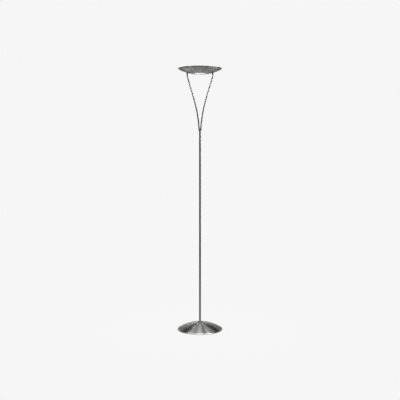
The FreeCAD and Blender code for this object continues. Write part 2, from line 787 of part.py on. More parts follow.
def make_lug(name, side):
    body = new_body(f"{name}_lug")
    add_cylinder(body, "lug_barrel", "lug_barrel_radius", "lug_thickness",
                 ("-lug_thickness / 2", "0", "0"), ALONG_X)
    add_cylinder(body, "lug_shank", "lug_shank_radius", "lug_top - pivot_height", ("0", "0", "0"))
    add_cylinder(body, "lug_rest", "lug_collar_radius", "lug_collar",
                 ("0", "0", "lug_collar_top - lug_collar - pivot_height"))
    add_cylinder(body, "lug_bore", "lead_passage_radius", "lug_top - pivot_height + lug_barrel_radius + 2 * overrun",
                 ("0", "0", "-lug_barrel_radius - overrun"), cut=True)
    add_box(body, "lead_slot",
            ("-lead_passage_radius", "-lead_sweep", "-lug_barrel_radius - overrun"),
            ("2 * lead_passage_radius", "2 * lead_sweep", "lug_barrel_radius + overrun"),
            cut=True)
    add_cylinder(body, "trunnion_hole", "trunnion_radius + fit_gap", "lug_thickness + 2 * overrun",
                 ("-lug_thickness / 2 - overrun", "0", "0"), ALONG_X, cut=True)
    put(body, (f"{side} * pivot_reach", "0", "pivot_height"))


# Bowl

def make_shade_bowl():
    body = turned("shade_bowl", [
        ("opening_radius", "flat_height"),
        ("flat_radius", "flat_height", "bowl_sphere", BULGE_RIGHT),
        ("shoulder_reach", "shoulder_height", "shoulder_radius", BULGE_RIGHT),
        ("rim_radius", "overall_height"),
        ("bowl_inner_rim_radius", "overall_height", "shoulder_inner_radius", BULGE_LEFT),
        ("shoulder_inner_reach", "shoulder_inner_height", "bowl_inner_sphere", BULGE_LEFT),
        ("flat_inner_radius", "flat_inner_height"),
        ("opening_radius", "flat_inner_height"),
    ])
    bead = body.newObject("PartDesign::AdditiveTorus", "rim_bead")
    sized(bead, Radius1="rim_radius - bowl_wall / 2", Radius2="rim_bead_radius")
    put(bead, ("0", "0", "overall_height - rim_bead_radius"))
    for side in SIDES.values():
        add_cylinder(body, "lug_hole", "lug_shank_radius + fit_gap", "bowl_depth",
                     (f"{side} * pivot_reach", "0", "bowl_low"), cut=True)


def make_glass_disc():
    turned("glass_disc", [
        ("0", "disc_step_low"),
        ("disc_step_radius", "disc_step_low"),
        ("disc_step_radius", "disc_low"),
        ("disc_radius", "disc_low"),
        ("disc_radius", "disc_top"),
        ("0", "disc_top"),
    ])


def make_disc_clips():
    clips = []
    for index in range(CLIP_COUNT):
        strip = block("clip_strip", ("clip_start", "-clip_width / 2", "clip_low"),
                      ("clip_end - clip_start", "clip_width", "clip_thickness"))
        foot = block("clip_foot", ("disc_radius + free_gap", "-clip_width / 2", "disc_low"),
                     ("clip_foot", "clip_width", "clip_low - disc_low"))
        clip = joined("disc_clip", [strip, foot])
        clip.Placement = Placement(Vector(), Rotation(Vector(0, 0, 1), FIRST_CLIP_TURN + index * 360 / CLIP_COUNT))
        clips.append(clip)
    group("disc_clips", clips)


# Lamp bracket, holders and lamp

def make_lamp_bracket():
    body = new_body("lamp_bracket")
    add_box(body, "bracket_bar", ("-bracket_end", "-bracket_width / 2", "bracket_low"),
            ("2 * bracket_end", "bracket_width", "bracket_thickness"))
    for side in SIDES.values():
        add_cylinder(body, "lug_hole", "lug_shank_radius + fit_gap", "bracket_thickness + 2 * overrun",
                     (f"{side} * pivot_reach", "0", "bracket_low - overrun"), cut=True)
        add_cylinder(body, "holder_screw_hole", "holder_screw_radius + fit_gap", "bracket_thickness + 2 * overrun",
                     (f"{side} * holder_screw_reach", "0", "bracket_low - overrun"), cut=True)
    nuts = [hex_nut("lug_nut", "lug_nut_corner_radius", "lug_shank_radius + fit_gap", "lug_nut_height",
                    (f"{side} * pivot_reach", "0", "bracket_top")) for side in SIDES.values()]
    group("lug_nuts", nuts)


def make_holder_screws():
    screws = []
    for side in SIDES.values():
        reach = f"{side} * holder_screw_reach"
        head = round_bar("holder_screw_cap", "holder_screw_head_radius", "holder_screw_head",
                         (reach, "0", "bracket_low - holder_screw_head"))
        shank = round_bar("holder_screw_shank", "holder_screw_radius", "bracket_thickness + holder_screw_bite",
                          (reach, "0", "bracket_low"))
        screws.append(joined("holder_screw", [head, shank]))
    group("holder_screws", screws)


def make_lampholder(name, side):
    turn = Rotation(Vector(0, 0, 1), 0 if side > 0 else 180)
    body = new_body(f"{name}_lampholder")
    cup = "(cap_radius + free_gap)"
    add_box(body, "holder_block", ("holder_start", "-holder_width / 2", "bracket_top"),
            ("holder_length", "holder_width", "holder_top - bracket_top"))
    add_cylinder(body, "lamp_cup", cup, "lamp_half_length + free_gap - holder_start + overrun",
                 ("holder_start - overrun", "0", "lamp_height"), ALONG_X, cut=True)
    add_box(body, "lamp_slot", ("holder_start - overrun", f"-{cup}", "lamp_height"),
            ("lamp_half_length + free_gap - holder_start + overrun", f"2 * {cup}", "holder_rise + overrun"),
            cut=True)
    add_cylinder(body, "contact_guide", "contact_radius + fit_gap", "contact_flange_start - lamp_half_length",
                 ("lamp_half_length", "0", "lamp_height"), ALONG_X, cut=True)
    add_cylinder(body, "spring_chamber", "contact_flange_radius + fit_gap",
                 "spring_end - contact_flange_start + free_gap",
                 ("contact_flange_start - free_gap", "0", "lamp_height"), ALONG_X, cut=True)
    add_cylinder(body, "lead_hole", "lead_radius + fit_gap", "holder_back_wall + 2 * overrun",
                 ("spring_end - overrun", "0", "lamp_height"), ALONG_X, cut=True)
    add_cylinder(body, "holder_screw_hole", "holder_screw_radius + fit_gap",
                 "holder_screw_bite + free_gap + overrun",
                 ("holder_screw_reach", "0", "bracket_top - overrun"), cut=True)
    body.Placement = Placement(Vector(), turn)


def make_contact(name, side):
    contact = turned(f"{name}_contact", [
        ("0", "0"),
        ("contact_radius", "0"),
        ("contact_radius", "contact_length - contact_flange"),
        ("contact_flange_radius", "contact_length - contact_flange"),
        ("contact_flange_radius", "contact_length"),
        ("0", "contact_length"),
    ])
    put(contact, (f"{side} * contact_start", "0", "lamp_height"), ALONG_X if side > 0 else ALONG_MINUS_X)


def make_spring(name, side):
    wire_radius = value("spring_wire_radius")
    coil_radius = value("contact_flange_radius - spring_wire_radius - fit_gap")
    length = value("spring_end - contact_end - 2 * spring_wire_radius - 2 * fit_gap")
    helix = Part.makeHelix(length / SPRING_TURNS, length, coil_radius)
    start = Vector(coil_radius, 0, 0)
    section = Part.Wire(Part.makeCircle(wire_radius, start, Vector(0, 1, 0)))
    spring = document.addObject("Part::Feature", f"{name}_contact_spring")
    spring.Shape = Part.Wire(helix.Edges).makePipeShell([section], True, False)
    put(spring, (f"{side} * (contact_end + spring_wire_radius + fit_gap)", "0", "lamp_height"),
        ALONG_X if side > 0 else ALONG_MINUS_X)
    named(spring, f"{name}_contact_spring")


def make_lamp():
    tail = "filament_tail_radius + fit_gap"
    tube = turned("lamp_glass", [
        (tail, "-pinch_end"),
        ("pinch_radius", "-pinch_end"),
        ("pinch_radius", "-pinch_start"),
        ("glass_radius", "-glass_half_length"),
        ("glass_radius", "glass_half_length"),
        ("pinch_radius", "pinch_start"),
        ("pinch_radius", "pinch_end"),
        (tail, "pinch_end"),
        (tail, "glass_half_length"),
        ("glass_radius - glass_wall", "glass_half_length - glass_wall"),
        ("glass_radius - glass_wall", "-glass_half_length + glass_wall"),
        (tail, "-glass_half_length"),
    ])
    put(tube, ("0", "0", "lamp_height"), ALONG_X)
    filament = turned("lamp_filament", [
        ("0", "-lamp_half_length"),
        ("filament_tail_radius", "-lamp_half_length"),
        ("filament_tail_radius", "-filament_half_length"),
        ("filament_radius", "-filament_half_length"),
        ("filament_radius", "filament_half_length"),
        ("filament_tail_radius", "filament_half_length"),
        ("filament_tail_radius", "lamp_half_length"),
        ("0", "lamp_half_length"),
    ])
    put(filament, ("0", "0", "lamp_height"), ALONG_X)
    caps = []
    for side in SIDES.values():
        turn = ALONG_X if side > 0 else ALONG_MINUS_X
        whole = round_bar("cap_outside", "cap_radius", "cap_length",
                          (f"{side} * cap_start", "0", "lamp_height"), turn)
        pinch = round_bar("cap_pinch", "pinch_radius + fit_gap", "pinch_end - cap_start + fit_gap",
                          (f"{side} * cap_start", "0", "lamp_height"), turn)
        through = round_bar("cap_tail", tail, "cap_length", (f"{side} * cap_start", "0", "lamp_height"), turn)
        caps.append(cut_from("lamp_cap", whole, joined("cap_bore", [pinch, through])))
    group("lamp_caps", caps)


# Leads

def rounded_path(corners):
    """A wire of straight runs with a tangent arc at each inner corner, from (point, radius) pairs."""
    edges = []
    here = corners[0][0]
    for (before, _), (corner, radius), (after, _) in zip(corners, corners[1:], corners[2:]):
        inwards = (corner - before).normalize()
        outwards = (after - corner).normalize()
        turn = inwards.getAngle(outwards)
        tangent = radius * math.tan(turn / 2)
        arc_start = corner - inwards * tangent
        arc_end = corner + outwards * tangent
        towards_centre = (outwards - inwards).normalize()
        middle = corner + towards_centre * (radius / math.cos(turn / 2) - radius)
        edges.append(Part.LineSegment(here, arc_start).toShape())
        edges.append(Part.Arc(arc_start, middle, arc_end).toShape())
        here = arc_end
    edges.append(Part.LineSegment(here, corners[-1][0]).toShape())
    return Part.Wire(edges)


def make_lead(label, route):
    """A round lead along a route of (place, bend radius) pairs."""
    corners = [(point(place), value(radius)) for place, radius in route]
    path = rounded_path(corners)
    radius = value("lead_radius")
    first_run = corners[1][0] - corners[0][0]
    section = Part.Wire(Part.makeCircle(radius, corners[0][0], first_run))
    lead = document.addObject("Part::Feature", label)
    lead.Shape = path.makePipeShell([section], True, False)
    ideal = math.pi * radius ** 2 * path.Length
    print(f"{label}: {path.Length:.1f} mm long, volume {lead.Shape.Volume / ideal:.4f} of section times length")
    named(lead, label)


def make_leads():
    for name, side in SIDES.items():
        make_lead(f"{name}_lead", [
            ((f"{side} * pole_spacing", "block_start + sleeve_inset + lead_grip", "pole_height"), "0"),
            ((f"{side} * pole_spacing", "block_start - lead_rise", "pole_height"), "lead_bend_radius"),
            ((f"{side} * lead_pair_reach", "lead_turn", "lead_low"), "lead_bend_radius"),
            ((f"{side} * lead_pair_reach", "0", "lead_low"), "lead_bend_radius"),
            ((f"{side} * lead_pair_reach", "0", "stem_top"), "passage_bend_radius"),
            ((f"{side} * arm_entry_reach", "0", "socket_low"), "passage_bend_radius"),
            ((f"{side} * arm_knee_reach", "0", "arm_knee_height"), "arm_knee_radius"),
            ((f"{side} * pivot_reach", "0", "arm_head_height"), "arm_head_radius"),
            ((f"{side} * pivot_reach", "0", "pivot_height - lead_parting"), "0"),
        ])
        make_lead(f"{name}_head_lead", [
            ((f"{side} * pivot_reach", "0", "pivot_height + lead_parting"), "0"),
            ((f"{side} * pivot_reach", "0", "lamp_height"), "head_lead_bend_radius"),
            ((f"{side} * spring_end", "0", "lamp_height"), "0"),
        ])
    make_lead("earth_lead", [
        (("0", "tag_reach - tag_grip", "nut_top - lead_radius - fit_gap"), "0"),
        (("0", "tag_reach", "nut_top - lead_radius - fit_gap"), "earth_bend_radius"),
        (("0", "block_start - earth_rise", "pole_height"), "earth_bend_radius"),
        (("0", "block_start + sleeve_inset + lead_grip", "pole_height"), "0"),
    ])


def make_lamp_assembly():
    """Make every piece, from the floor up."""
    make_floor_pad()
    make_base_weight()
    make_base_cover()
    make_cord_grommet()
    make_clamping_parts()
    make_earth_tag()
    make_stem_collar()
    make_terminal_block()
    make_stem()
    make_fork_joint()
    make_trunnions()
    make_shade_bowl()
    make_glass_disc()
    make_disc_clips()
    make_lamp_bracket()
    make_holder_screws()
    make_lamp()
    for name, side in SIDES.items():
        make_arm(name, side)
        make_knuckle(name, side)
        make_lug(name, side)
        make_lampholder(name, side)
        make_contact(name, side)
        make_spring(name, side)
    make_leads()


def check_pieces():
    """Stop if an object failed, or a piece has no sound solid."""
    document.recompute()
    failed = [item for item in document.Objects if {"Invalid", "Error"} & set(item.State)]
    if failed:
        raise RuntimeError("; ".join(f"{item.Label}: {item.getStatusString()}" for item in failed))
    for label, item in nodes.items():
        shape = item.Shape
        if shape.isNull() or not shape.isValid() or shape.Volume <= 0:
            raise RuntimeError(f"{label} has no sound solid")
        print(f"{label}: {len(shape.Solids)} solids, {shape.Volume:.1f} cubic mm")


def write_pieces():
    """Write each piece to a file of its own."""
    os.makedirs("parts", exist_ok=True)
    for label, item in nodes.items():
        item.Shape.exportStep(f"parts/{label}.step")


make_lamp_assembly()
check_pieces()
write_pieces()
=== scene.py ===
"""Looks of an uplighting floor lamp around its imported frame, in metres.

+Z is up, +X to the right and +Y to the back. The lamp is satin spun steel with black moulded knuckles. Its
bowl holds a linear lamp between two ceramic holders, and an opal glass disc closes the bowl's bottom.
"""

import json
import logging
import math
from collections.abc import Callable, Iterator
from contextlib import contextmanager
from dataclasses import dataclass, field
from enum import Enum

import bmesh
import bpy
from mathutils import Matrix, Vector

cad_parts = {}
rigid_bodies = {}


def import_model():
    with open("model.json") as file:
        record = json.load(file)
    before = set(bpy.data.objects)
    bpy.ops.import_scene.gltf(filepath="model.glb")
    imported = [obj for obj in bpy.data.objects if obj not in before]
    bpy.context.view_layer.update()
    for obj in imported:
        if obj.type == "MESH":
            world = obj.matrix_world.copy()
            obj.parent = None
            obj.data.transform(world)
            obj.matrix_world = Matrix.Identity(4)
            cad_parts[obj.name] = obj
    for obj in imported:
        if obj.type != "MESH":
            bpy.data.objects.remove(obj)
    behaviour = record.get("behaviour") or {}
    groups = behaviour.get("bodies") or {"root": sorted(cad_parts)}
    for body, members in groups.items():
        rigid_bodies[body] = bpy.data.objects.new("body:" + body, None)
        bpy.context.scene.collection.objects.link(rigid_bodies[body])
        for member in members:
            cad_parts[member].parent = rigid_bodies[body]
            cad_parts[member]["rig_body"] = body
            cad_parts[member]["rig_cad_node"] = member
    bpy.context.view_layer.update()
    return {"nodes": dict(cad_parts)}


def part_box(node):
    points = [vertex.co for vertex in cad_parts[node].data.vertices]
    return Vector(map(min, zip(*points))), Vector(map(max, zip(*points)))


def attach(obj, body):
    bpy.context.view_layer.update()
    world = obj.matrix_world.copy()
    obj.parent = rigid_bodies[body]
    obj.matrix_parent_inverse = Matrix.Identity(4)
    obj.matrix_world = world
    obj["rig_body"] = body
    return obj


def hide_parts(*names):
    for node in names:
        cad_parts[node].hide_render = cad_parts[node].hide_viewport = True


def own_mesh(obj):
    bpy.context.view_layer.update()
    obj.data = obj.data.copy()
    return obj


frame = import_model()

MM = 0.001
X_AXIS = Vector((1, 0, 0))
Z_AXIS = Vector((0, 0, 1))
PAPER_WHITE = "#F6F6F6"
PLAIN_STEEL = "#868684"

log = logging.getLogger("floor_lamp")

Piece = bpy.types.Object
Tree = bpy.types.NodeTree
Node = bpy.types.Node
Socket = bpy.types.NodeSocket
Inputs = dict[str | int, object]
Test = Callable[[Vector, Vector], bool]
Outline = list[tuple[float, float]]
Steps = list[tuple[float, float]]


class Side(Enum):
    """One of the lamp's two mirrored sides."""

    LEFT = -1
    RIGHT = 1

    @property
    def word(self) -> str:
        """The side's name as the nodes' names have it."""
        return self.name.lower()


# Colours and nodes

def linear(hex_colour: str) -> tuple[float, float, float, float]:
    """Turn an sRGB hex colour to linear light.

    Args:
        hex_colour: a colour such as "#8A8A88".

    Returns:
        Linear red, green and blue, and an alpha of 1.
    """
    channels = []
    for start in (1, 3, 5):
        part = int(hex_colour[start:start + 2], 16) / 255
        channels.append(part / 12.92 if part <= 0.04045 else ((part + 0.055) / 1.055) ** 2.4)
    return channels[0], channels[1], channels[2], 1.0


def add_node(tree: Tree, kind: str, inputs: Inputs | None = None, **settings: object) -> Node:
    """Add a node with its settings and links.

    Args:
        tree: the node tree that gets the node.
        kind: the node's type name without the ShaderNode in front.
        inputs: values, or other nodes' outputs, by the input's name or number.
        settings: the node's own settings.

    Returns:
        The new node.
    """
    node = tree.nodes.new(f"ShaderNode{kind}")
    for name, setting in settings.items():
        setattr(node, name, setting)
    for name, source in (inputs or {}).items():
        if isinstance(source, Socket):
            tree.links.new(source, node.inputs[name])
        else:
            node.inputs[name].default_value = source
    return node


# Finishes

@dataclass(frozen=True)
class Finish:
    """A surface finish: its name, its slot in the record, and the values that its shader starts from."""

    name: str
    slot: str
    colour: str
    roughness: float
    metallic: float = 0.0

    def material(self) -> bpy.types.Material:
        """Find the finish's material, or make it the first time it is asked for.

        Returns:
            The material.
        """
        found = bpy.data.materials.get(self.name)
        if found:
            return found
        made = bpy.data.materials.new(self.name)
        made.use_nodes = True
        tree = made.node_tree
        tree.nodes.clear()
        start = {"Base Color": linear(self.colour), "Roughness": self.roughness, "Metallic": self.metallic}
        shader = add_node(tree, "BsdfPrincipled", start)
        add_node(tree, "OutputMaterial", {"Surface": shader.outputs["BSDF"]})
        place = add_node(tree, "TexCoord").outputs["Object"]
        self.paint(tree, shader, place)
        return made

    def paint(self, tree: Tree, shader: Node, place: Socket) -> None:
        """Add the finish's own detail to its shader.

        Args:
            tree: the material's nodes.
            shader: the Principled shader that the detail goes to.
            place: the socket that gives a point's place on the piece, in metres.
        """

    def shades(self, tree: Tree, shader: Node, amount: Socket, darker: float, lighter: float) -> None:
        """Vary the colour between a darker and a lighter shade of itself.

        Args:
            tree: the material's nodes.
            shader: the shader whose colour varies.
            amount: the pattern, from 0 for the darker shade to 1 for the lighter.
            darker: the darker shade as a share of the colour.
            lighter: the lighter shade as a share of the colour.
        """
        red, green, blue, _ = linear(self.colour)
        low = (red * darker, green * darker, blue * darker, 1.0)
        high = (min(1.0, red * lighter), min(1.0, green * lighter), min(1.0, blue * lighter), 1.0)
        mix = add_node(tree, "Mix", {0: amount, 6: low, 7: high}, data_type="RGBA")
        tree.links.new(mix.outputs[2], shader.inputs["Base Color"])

    def varied_roughness(self, tree: Tree, shader: Node, amount: Socket, spread: float) -> None:
        """Vary the roughness about its own value.

        Args:
            tree: the material's nodes.
            shader: the shader whose roughness varies.
            amount: the pattern, from 0 to 1.
            spread: how far the roughness goes either way.
        """
        limits = {"Value": amount, "To Min": self.roughness - spread, "To Max": self.roughness + spread}
        span = add_node(tree, "MapRange", limits)
        tree.links.new(span.outputs["Result"], shader.inputs["Roughness"])

    def blend_in(self, tree: Tree, shader: Node, distance: Socket, colour: str,
                 from_mm: float, full_mm: float) -> None:
        """Blend another colour in as a distance grows.

        Args:
            tree: the material's nodes.
            shader: the shader whose linked colour is changed.
            distance: the distance that the blend follows, in metres.
            colour: the other colour, as sRGB hex.
            from_mm: the distance where the blend begins.
            full_mm: the distance from which only the other colour shows.
        """
        limits = {"Value": distance, "From Min": from_mm * MM, "From Max": full_mm * MM}
        reach = add_node(tree, "MapRange", limits).outputs[0]
        plain = shader.inputs["Base Color"].links[0].from_socket
        mix = add_node(tree, "Mix", {0: reach, 6: plain, 7: linear(colour)}, data_type="RGBA")
        tree.links.new(mix.outputs[2], shader.inputs["Base Color"])

    def relief(self, tree: Tree, shader: Node, height: Socket, depth_mm: float) -> None:
        """Raise the surface by a pattern.

        Args:
            tree: the material's nodes.
            shader: the shader whose normal is changed.
            height: the pattern, from 0 to 1.
            depth_mm: the pattern's real depth.
        """
        bump = add_node(tree, "Bump", {"Height": height, "Distance": depth_mm * MM})
        tree.links.new(bump.outputs["Normal"], shader.inputs["Normal"])


@dataclass(frozen=True)
class SpunSteel(Finish):
    """Satin stainless steel, polished on a lathe, with a painted highlight that can brighten it towards the
    rim.

    The polishing belt leaves fine rings, so a light is drawn out into a streak across them, from the middle
    to the edge. Real rings are a tenth of a millimetre apart, and these are drawn coarser, so that they show.
    """

    anisotropy: float = 0.95
    ring_mm: float = 2.5
    ring_depth_mm: float = 0.01
    fan_count: float = 26.0
    darker: float = 0.95
    lighter: float = 1.12
    roughness_spread: float = 0.04
    burnished: str = PLAIN_STEEL
    burnish_from_mm: float = 0.0
    burnish_full_mm: float = 0.0

    def paint(self, tree: Tree, shader: Node, place: Socket) -> None:
        """Add rings, a faint fan of marks and a painted highlight at the rim, and draw light out across the
        rings.
        """
        flat = add_node(tree, "VectorMath", {0: place, 1: (1, 1, 0)}, operation="MULTIPLY").outputs[0]
        radius = add_node(tree, "VectorMath", {0: flat}, operation="LENGTH").outputs["Value"]
        outward = add_node(tree, "VectorMath", {0: flat}, operation="NORMALIZE").outputs[0]
        ring_noise = {"W": radius, "Scale": 1 / (self.ring_mm * MM), "Detail": 3.0}
        fan_noise = {"Vector": outward, "Scale": self.fan_count, "Detail": 2.0}
        rings = add_node(tree, "TexNoise", ring_noise, noise_dimensions="1D").outputs[0]
        fan = add_node(tree, "TexNoise", fan_noise).outputs[0]
        both = add_node(tree, "Math", {0: rings, 1: fan}, operation="MULTIPLY").outputs[0]
        self.shades(tree, shader, both, self.darker, self.lighter)
        # Painted highlight: a lighter colour blended in towards the rim
        if self.burnish_full_mm:
            self.blend_in(tree, shader, radius, self.burnished, self.burnish_from_mm, self.burnish_full_mm)
        self.varied_roughness(tree, shader, rings, self.roughness_spread)
        self.relief(tree, shader, rings, self.ring_depth_mm)
        world = add_node(tree, "VectorTransform", {"Vector": outward}, vector_type="VECTOR",
                         convert_from="OBJECT", convert_to="WORLD").outputs[0]
        tree.links.new(world, shader.inputs["Tangent"])
        shader.inputs["Anisotropic"].default_value = self.anisotropy


@dataclass(frozen=True)
class TubeSteel(Finish):
    """Satin stainless tube, polished between turning belts, which leave faint bands round it; a painted
    highlight can brighten it towards its top.
    """

    anisotropy: float = 0.6
    band_mm: float = 3.0
    darker: float = 0.96
    lighter: float = 1.04
    roughness_spread: float = 0.025
    brightened: str = PLAIN_STEEL
    bright_from_mm: float = 0.0
    bright_full_mm: float = 0.0

    def paint(self, tree: Tree, shader: Node, place: Socket) -> None:
        """Add the bands and the painted highlight towards the top, and draw light out along the tube."""
        height = add_node(tree, "SeparateXYZ", {0: place}).outputs["Z"]
        band_noise = {"W": height, "Scale": 1 / (self.band_mm * MM), "Detail": 4.0}
        bands = add_node(tree, "TexNoise", band_noise, noise_dimensions="1D").outputs[0]
        self.shades(tree, shader, bands, self.darker, self.lighter)
        # Painted highlight: a lighter colour blended in towards the top of the tube
        if self.bright_full_mm:
            self.blend_in(tree, shader, height, self.brightened, self.bright_from_mm, self.bright_full_mm)
        self.varied_roughness(tree, shader, bands, self.roughness_spread)
        along = add_node(tree, "VectorTransform", {"Vector": (0, 0, 1)}, vector_type="VECTOR",
                         convert_from="OBJECT", convert_to="WORLD").outputs[0]
        tree.links.new(along, shader.inputs["Tangent"])
        shader.inputs["Anisotropic"].default_value = self.anisotropy


@dataclass(frozen=True)
class Grained(Finish):
    """A finish with an even grain, as moulded plastic, plating, rubber and castings have.

    The grain is given by its real width and depth, and a slow cloud of light and dark lies over it.
    """

    grain_mm: float = 0.6
    grain_depth_mm: float = 0.02
    cloud_mm: float = 25.0
    darker: float = 0.85
    lighter: float = 1.12
    roughness_spread: float = 0.05

    def paint(self, tree: Tree, shader: Node, place: Socket) -> None:
        """Add the grain and the cloud."""
        cloud_noise = {"Vector": place, "Scale": 1 / (self.cloud_mm * MM), "Detail": 3.0}
        grain_noise = {"Vector": place, "Scale": 1 / (self.grain_mm * MM), "Detail": 2.0}
        cloud = add_node(tree, "TexNoise", cloud_noise).outputs[0]
        grain = add_node(tree, "TexNoise", grain_noise).outputs[0]
        self.shades(tree, shader, cloud, self.darker, self.lighter)
        self.varied_roughness(tree, shader, cloud, self.roughness_spread)
        self.relief(tree, shader, grain, self.grain_depth_mm)


@dataclass(frozen=True)
class CellFoam(Finish):
    """Foamed rubber sheet, whose skin shows its closed cells as small pits."""

    cell_mm: float = 1.2
    cell_depth_mm: float = 0.15
    darker: float = 0.7
    lighter: float = 1.3

    def paint(self, tree: Tree, shader: Node, place: Socket) -> None:
        """Add the cells as pits, with painted shade that darkens each pit."""
        cell_pattern = {"Vector": place, "Scale": 1 / (self.cell_mm * MM)}
        cells = add_node(tree, "TexVoronoi", cell_pattern).outputs["Distance"]
        # Painted shade: the lower a point lies in its pit, the darker it is
        self.shades(tree, shader, cells, self.darker, self.lighter)
        self.relief(tree, shader, cells, self.cell_depth_mm)


@dataclass(frozen=True)
class ClearGlass(Finish):
    """Clear quartz, drawn to a tube, which leaves faint lines along it."""

    ior: float = 1.46
    draw_line_mm: float = 1.5
    line_depth_mm: float = 0.01
    line_squeeze: float = 0.05

    def paint(self, tree: Tree, shader: Node, place: Socket) -> None:
        """Let light through, and add the faint lines."""
        shader.inputs["Transmission Weight"].default_value = 1.0
        shader.inputs["IOR"].default_value = self.ior
        squeeze = (self.line_squeeze, 1, 1)
        across = add_node(tree, "VectorMath", {0: place, 1: squeeze}, operation="MULTIPLY").outputs[0]
        line_noise = {"Vector": across, "Scale": 1 / (self.draw_line_mm * MM)}
        lines = add_node(tree, "TexNoise", line_noise).outputs[0]
        self.relief(tree, shader, lines, self.line_depth_mm)


@dataclass(frozen=True)
class OpalGlass(Finish):
    """Flashed opal glass, white all through, with a fire-polished face."""

    ior: float = 1.5
    scatter: float = 0.5
    scatter_mm: float = 4.0
    cloud_mm: float = 25.0
    cloud_depth_mm: float = 0.05
    darker: float = 0.97
    lighter: float = 1.02

    def paint(self, tree: Tree, shader: Node, place: Socket) -> None:
        """Scatter light inside, under a glossy face with a very slow unevenness."""
        shader.inputs["Subsurface Weight"].default_value = self.scatter
        shader.inputs["Subsurface Radius"].default_value = (1.0, 1.0, 0.95)
        shader.inputs["Subsurface Scale"].default_value = self.scatter_mm * MM
        shader.inputs["IOR"].default_value = self.ior
        cloud_noise = {"Vector": place, "Scale": 1 / (self.cloud_mm * MM), "Detail": 2.0}
        cloud = add_node(tree, "TexNoise", cloud_noise).outputs[0]
        self.shades(tree, shader, cloud, self.darker, self.lighter)
        self.relief(tree, shader, cloud, self.cloud_depth_mm)


@dataclass(frozen=True)
class StripedSleeve(Finish):
    """Green insulation with a yellow stripe wound round it, for an earth wire."""

    stripe: str = "#E0C22B"
    turn_mm: float = 6.0
    slant_per_mm: float = 0.4
    plain_share: float = 0.6

    def paint(self, tree: Tree, shader: Node, place: Socket) -> None:
        """Wind the stripe round the wire by its place along it and across it."""
        parts = add_node(tree, "SeparateXYZ", {0: place})
        turns_per_metre = 1 / (self.turn_mm * MM)
        slant_per_metre = self.slant_per_mm / MM
        along = add_node(tree, "Math", {0: parts.outputs["Y"], 1: turns_per_metre}, operation="MULTIPLY")
        across = add_node(tree, "Math", {0: parts.outputs["X"], 1: slant_per_metre}, operation="MULTIPLY")
        turn = add_node(tree, "Math", {0: along.outputs[0], 1: across.outputs[0]}, operation="ADD")
        share = add_node(tree, "Math", {0: turn.outputs[0]}, operation="FRACT")
        striped = add_node(tree, "Math", {0: share.outputs[0], 1: self.plain_share}, operation="GREATER_THAN")
        colours = {0: striped.outputs[0], 6: linear(self.colour), 7: linear(self.stripe)}
        mix = add_node(tree, "Mix", colours, data_type="RGBA")
        tree.links.new(mix.outputs[2], shader.inputs["Base Color"])


# Spun stainless steel, polished on a lathe: dark grey with drawn-out streaks, and a painted highlight on the
# rolled rim
SPUN_BASE = SpunSteel("spun_satin_steel_with_rim", "satin_steel", PLAIN_STEEL, 0.42, 1.0,
                      burnished="#CCCCCA", burnish_from_mm=146.0, burnish_full_mm=154.0)
# The same steel spun thinner for the bowl, a little paler, with a painted highlight a shade brighter towards
# the rim
SPUN_BOWL = SpunSteel("spun_satin_steel", "satin_steel", "#888886", 0.42, 1.0,
                      burnished="#A8A8A6", burnish_from_mm=142.0, burnish_full_mm=148.0)
# Polished stainless tube: an even satin with soft light lines along it, and a painted highlight towards the
# arms' tops
TUBE = TubeSteel("belt_polished_tube_steel", "satin_steel", PLAIN_STEEL, 0.36, 1.0,
                 brightened="#D4D4D2", bright_from_mm=1530.0, bright_full_mm=1730.0)
# The stem's thicker tube: the same steel, painted a shade darker as painted shade
STEM_TUBE_PAINTED_SHADE = TubeSteel("fine_belt_polished_tube_steel", "satin_steel", "#6C6C6A", 0.36, 1.0)
# Zinc die casting, satin plated: paler and duller than the tubes, with a closer grain
CAST_JOINT = Grained("satin_plated_casting", "satin_steel", "#A2A2A0", 0.5, 1.0, 0.8, 0.01, 12.0, 0.92, 1.08)
# Zinc plating over steel: pale bluish metal, slightly cloudy
ZINC = Grained("zinc_plated_steel", "zinc_steel", "#B9BCC0", 0.32, 1.0, 0.5, 0.008, 14.0, 0.88, 1.08)
# Raw sand casting: dark and rough, with a pitted skin
CASTING = Grained("sand_cast_iron", "cast_weight", "#3A3A3C", 0.72, 0.8, 1.6, 0.25, 30.0, 0.75, 1.25)
# Turned brass: warm yellow metal, bright where the tool went
BRASS = Grained("turned_brass", "brass", "#C9A95C", 0.25, 1.0, 0.4, 0.005, 10.0, 0.9, 1.08)
# Glass-filled nylon with a spark-eroded skin: matt black that shows only wide soft lights
BLACK_NYLON = Grained("black_glass_filled_nylon", "black_moulding", "#161616", 0.5, 0.0,
                      0.5, 0.02, 12.0, 0.85, 1.2)
# Closed-cell rubber sheet, die cut: matt black with small pits
PAD_FOAM = CellFoam("closed_cell_rubber", "pad_rubber", "#1C1C1C", 0.85)
# Moulded rubber: dull black with a faint bloom
GROMMET_RUBBER = Grained("moulded_black_rubber", "grommet_rubber", "#181818", 0.62, 0.0,
                         0.8, 0.02, 8.0, 0.8, 1.25)
# White nylon: slightly waxy
WHITE_NYLON = Grained("white_nylon", "terminal_moulding", "#DCDCD4", 0.42, 0.0, 0.6, 0.015, 15.0, 0.95, 1.03)
# Pressed steatite, unglazed: chalky off-white with a fine tooth
STEATITE = Grained("pressed_steatite", "white_ceramic", "#DFDCD2", 0.6, 0.0, 0.5, 0.03, 9.0, 0.94, 1.03)
# Quartz tube: clear, with bright edges
QUARTZ = ClearGlass("drawn_quartz_tube", "clear_glass", "#FBFDFD", 0.03)
# Opal glass: white and glossy
OPAL = OpalGlass("fire_polished_opal_glass", "opal_glass", "#F8F8F6", 0.3)
# Drawn tungsten wire: dark steel grey
TUNGSTEN = Grained("drawn_tungsten_wire", "tungsten", "#6C6C70", 0.35, 1.0, 0.2, 0.003, 6.0, 0.9, 1.1)
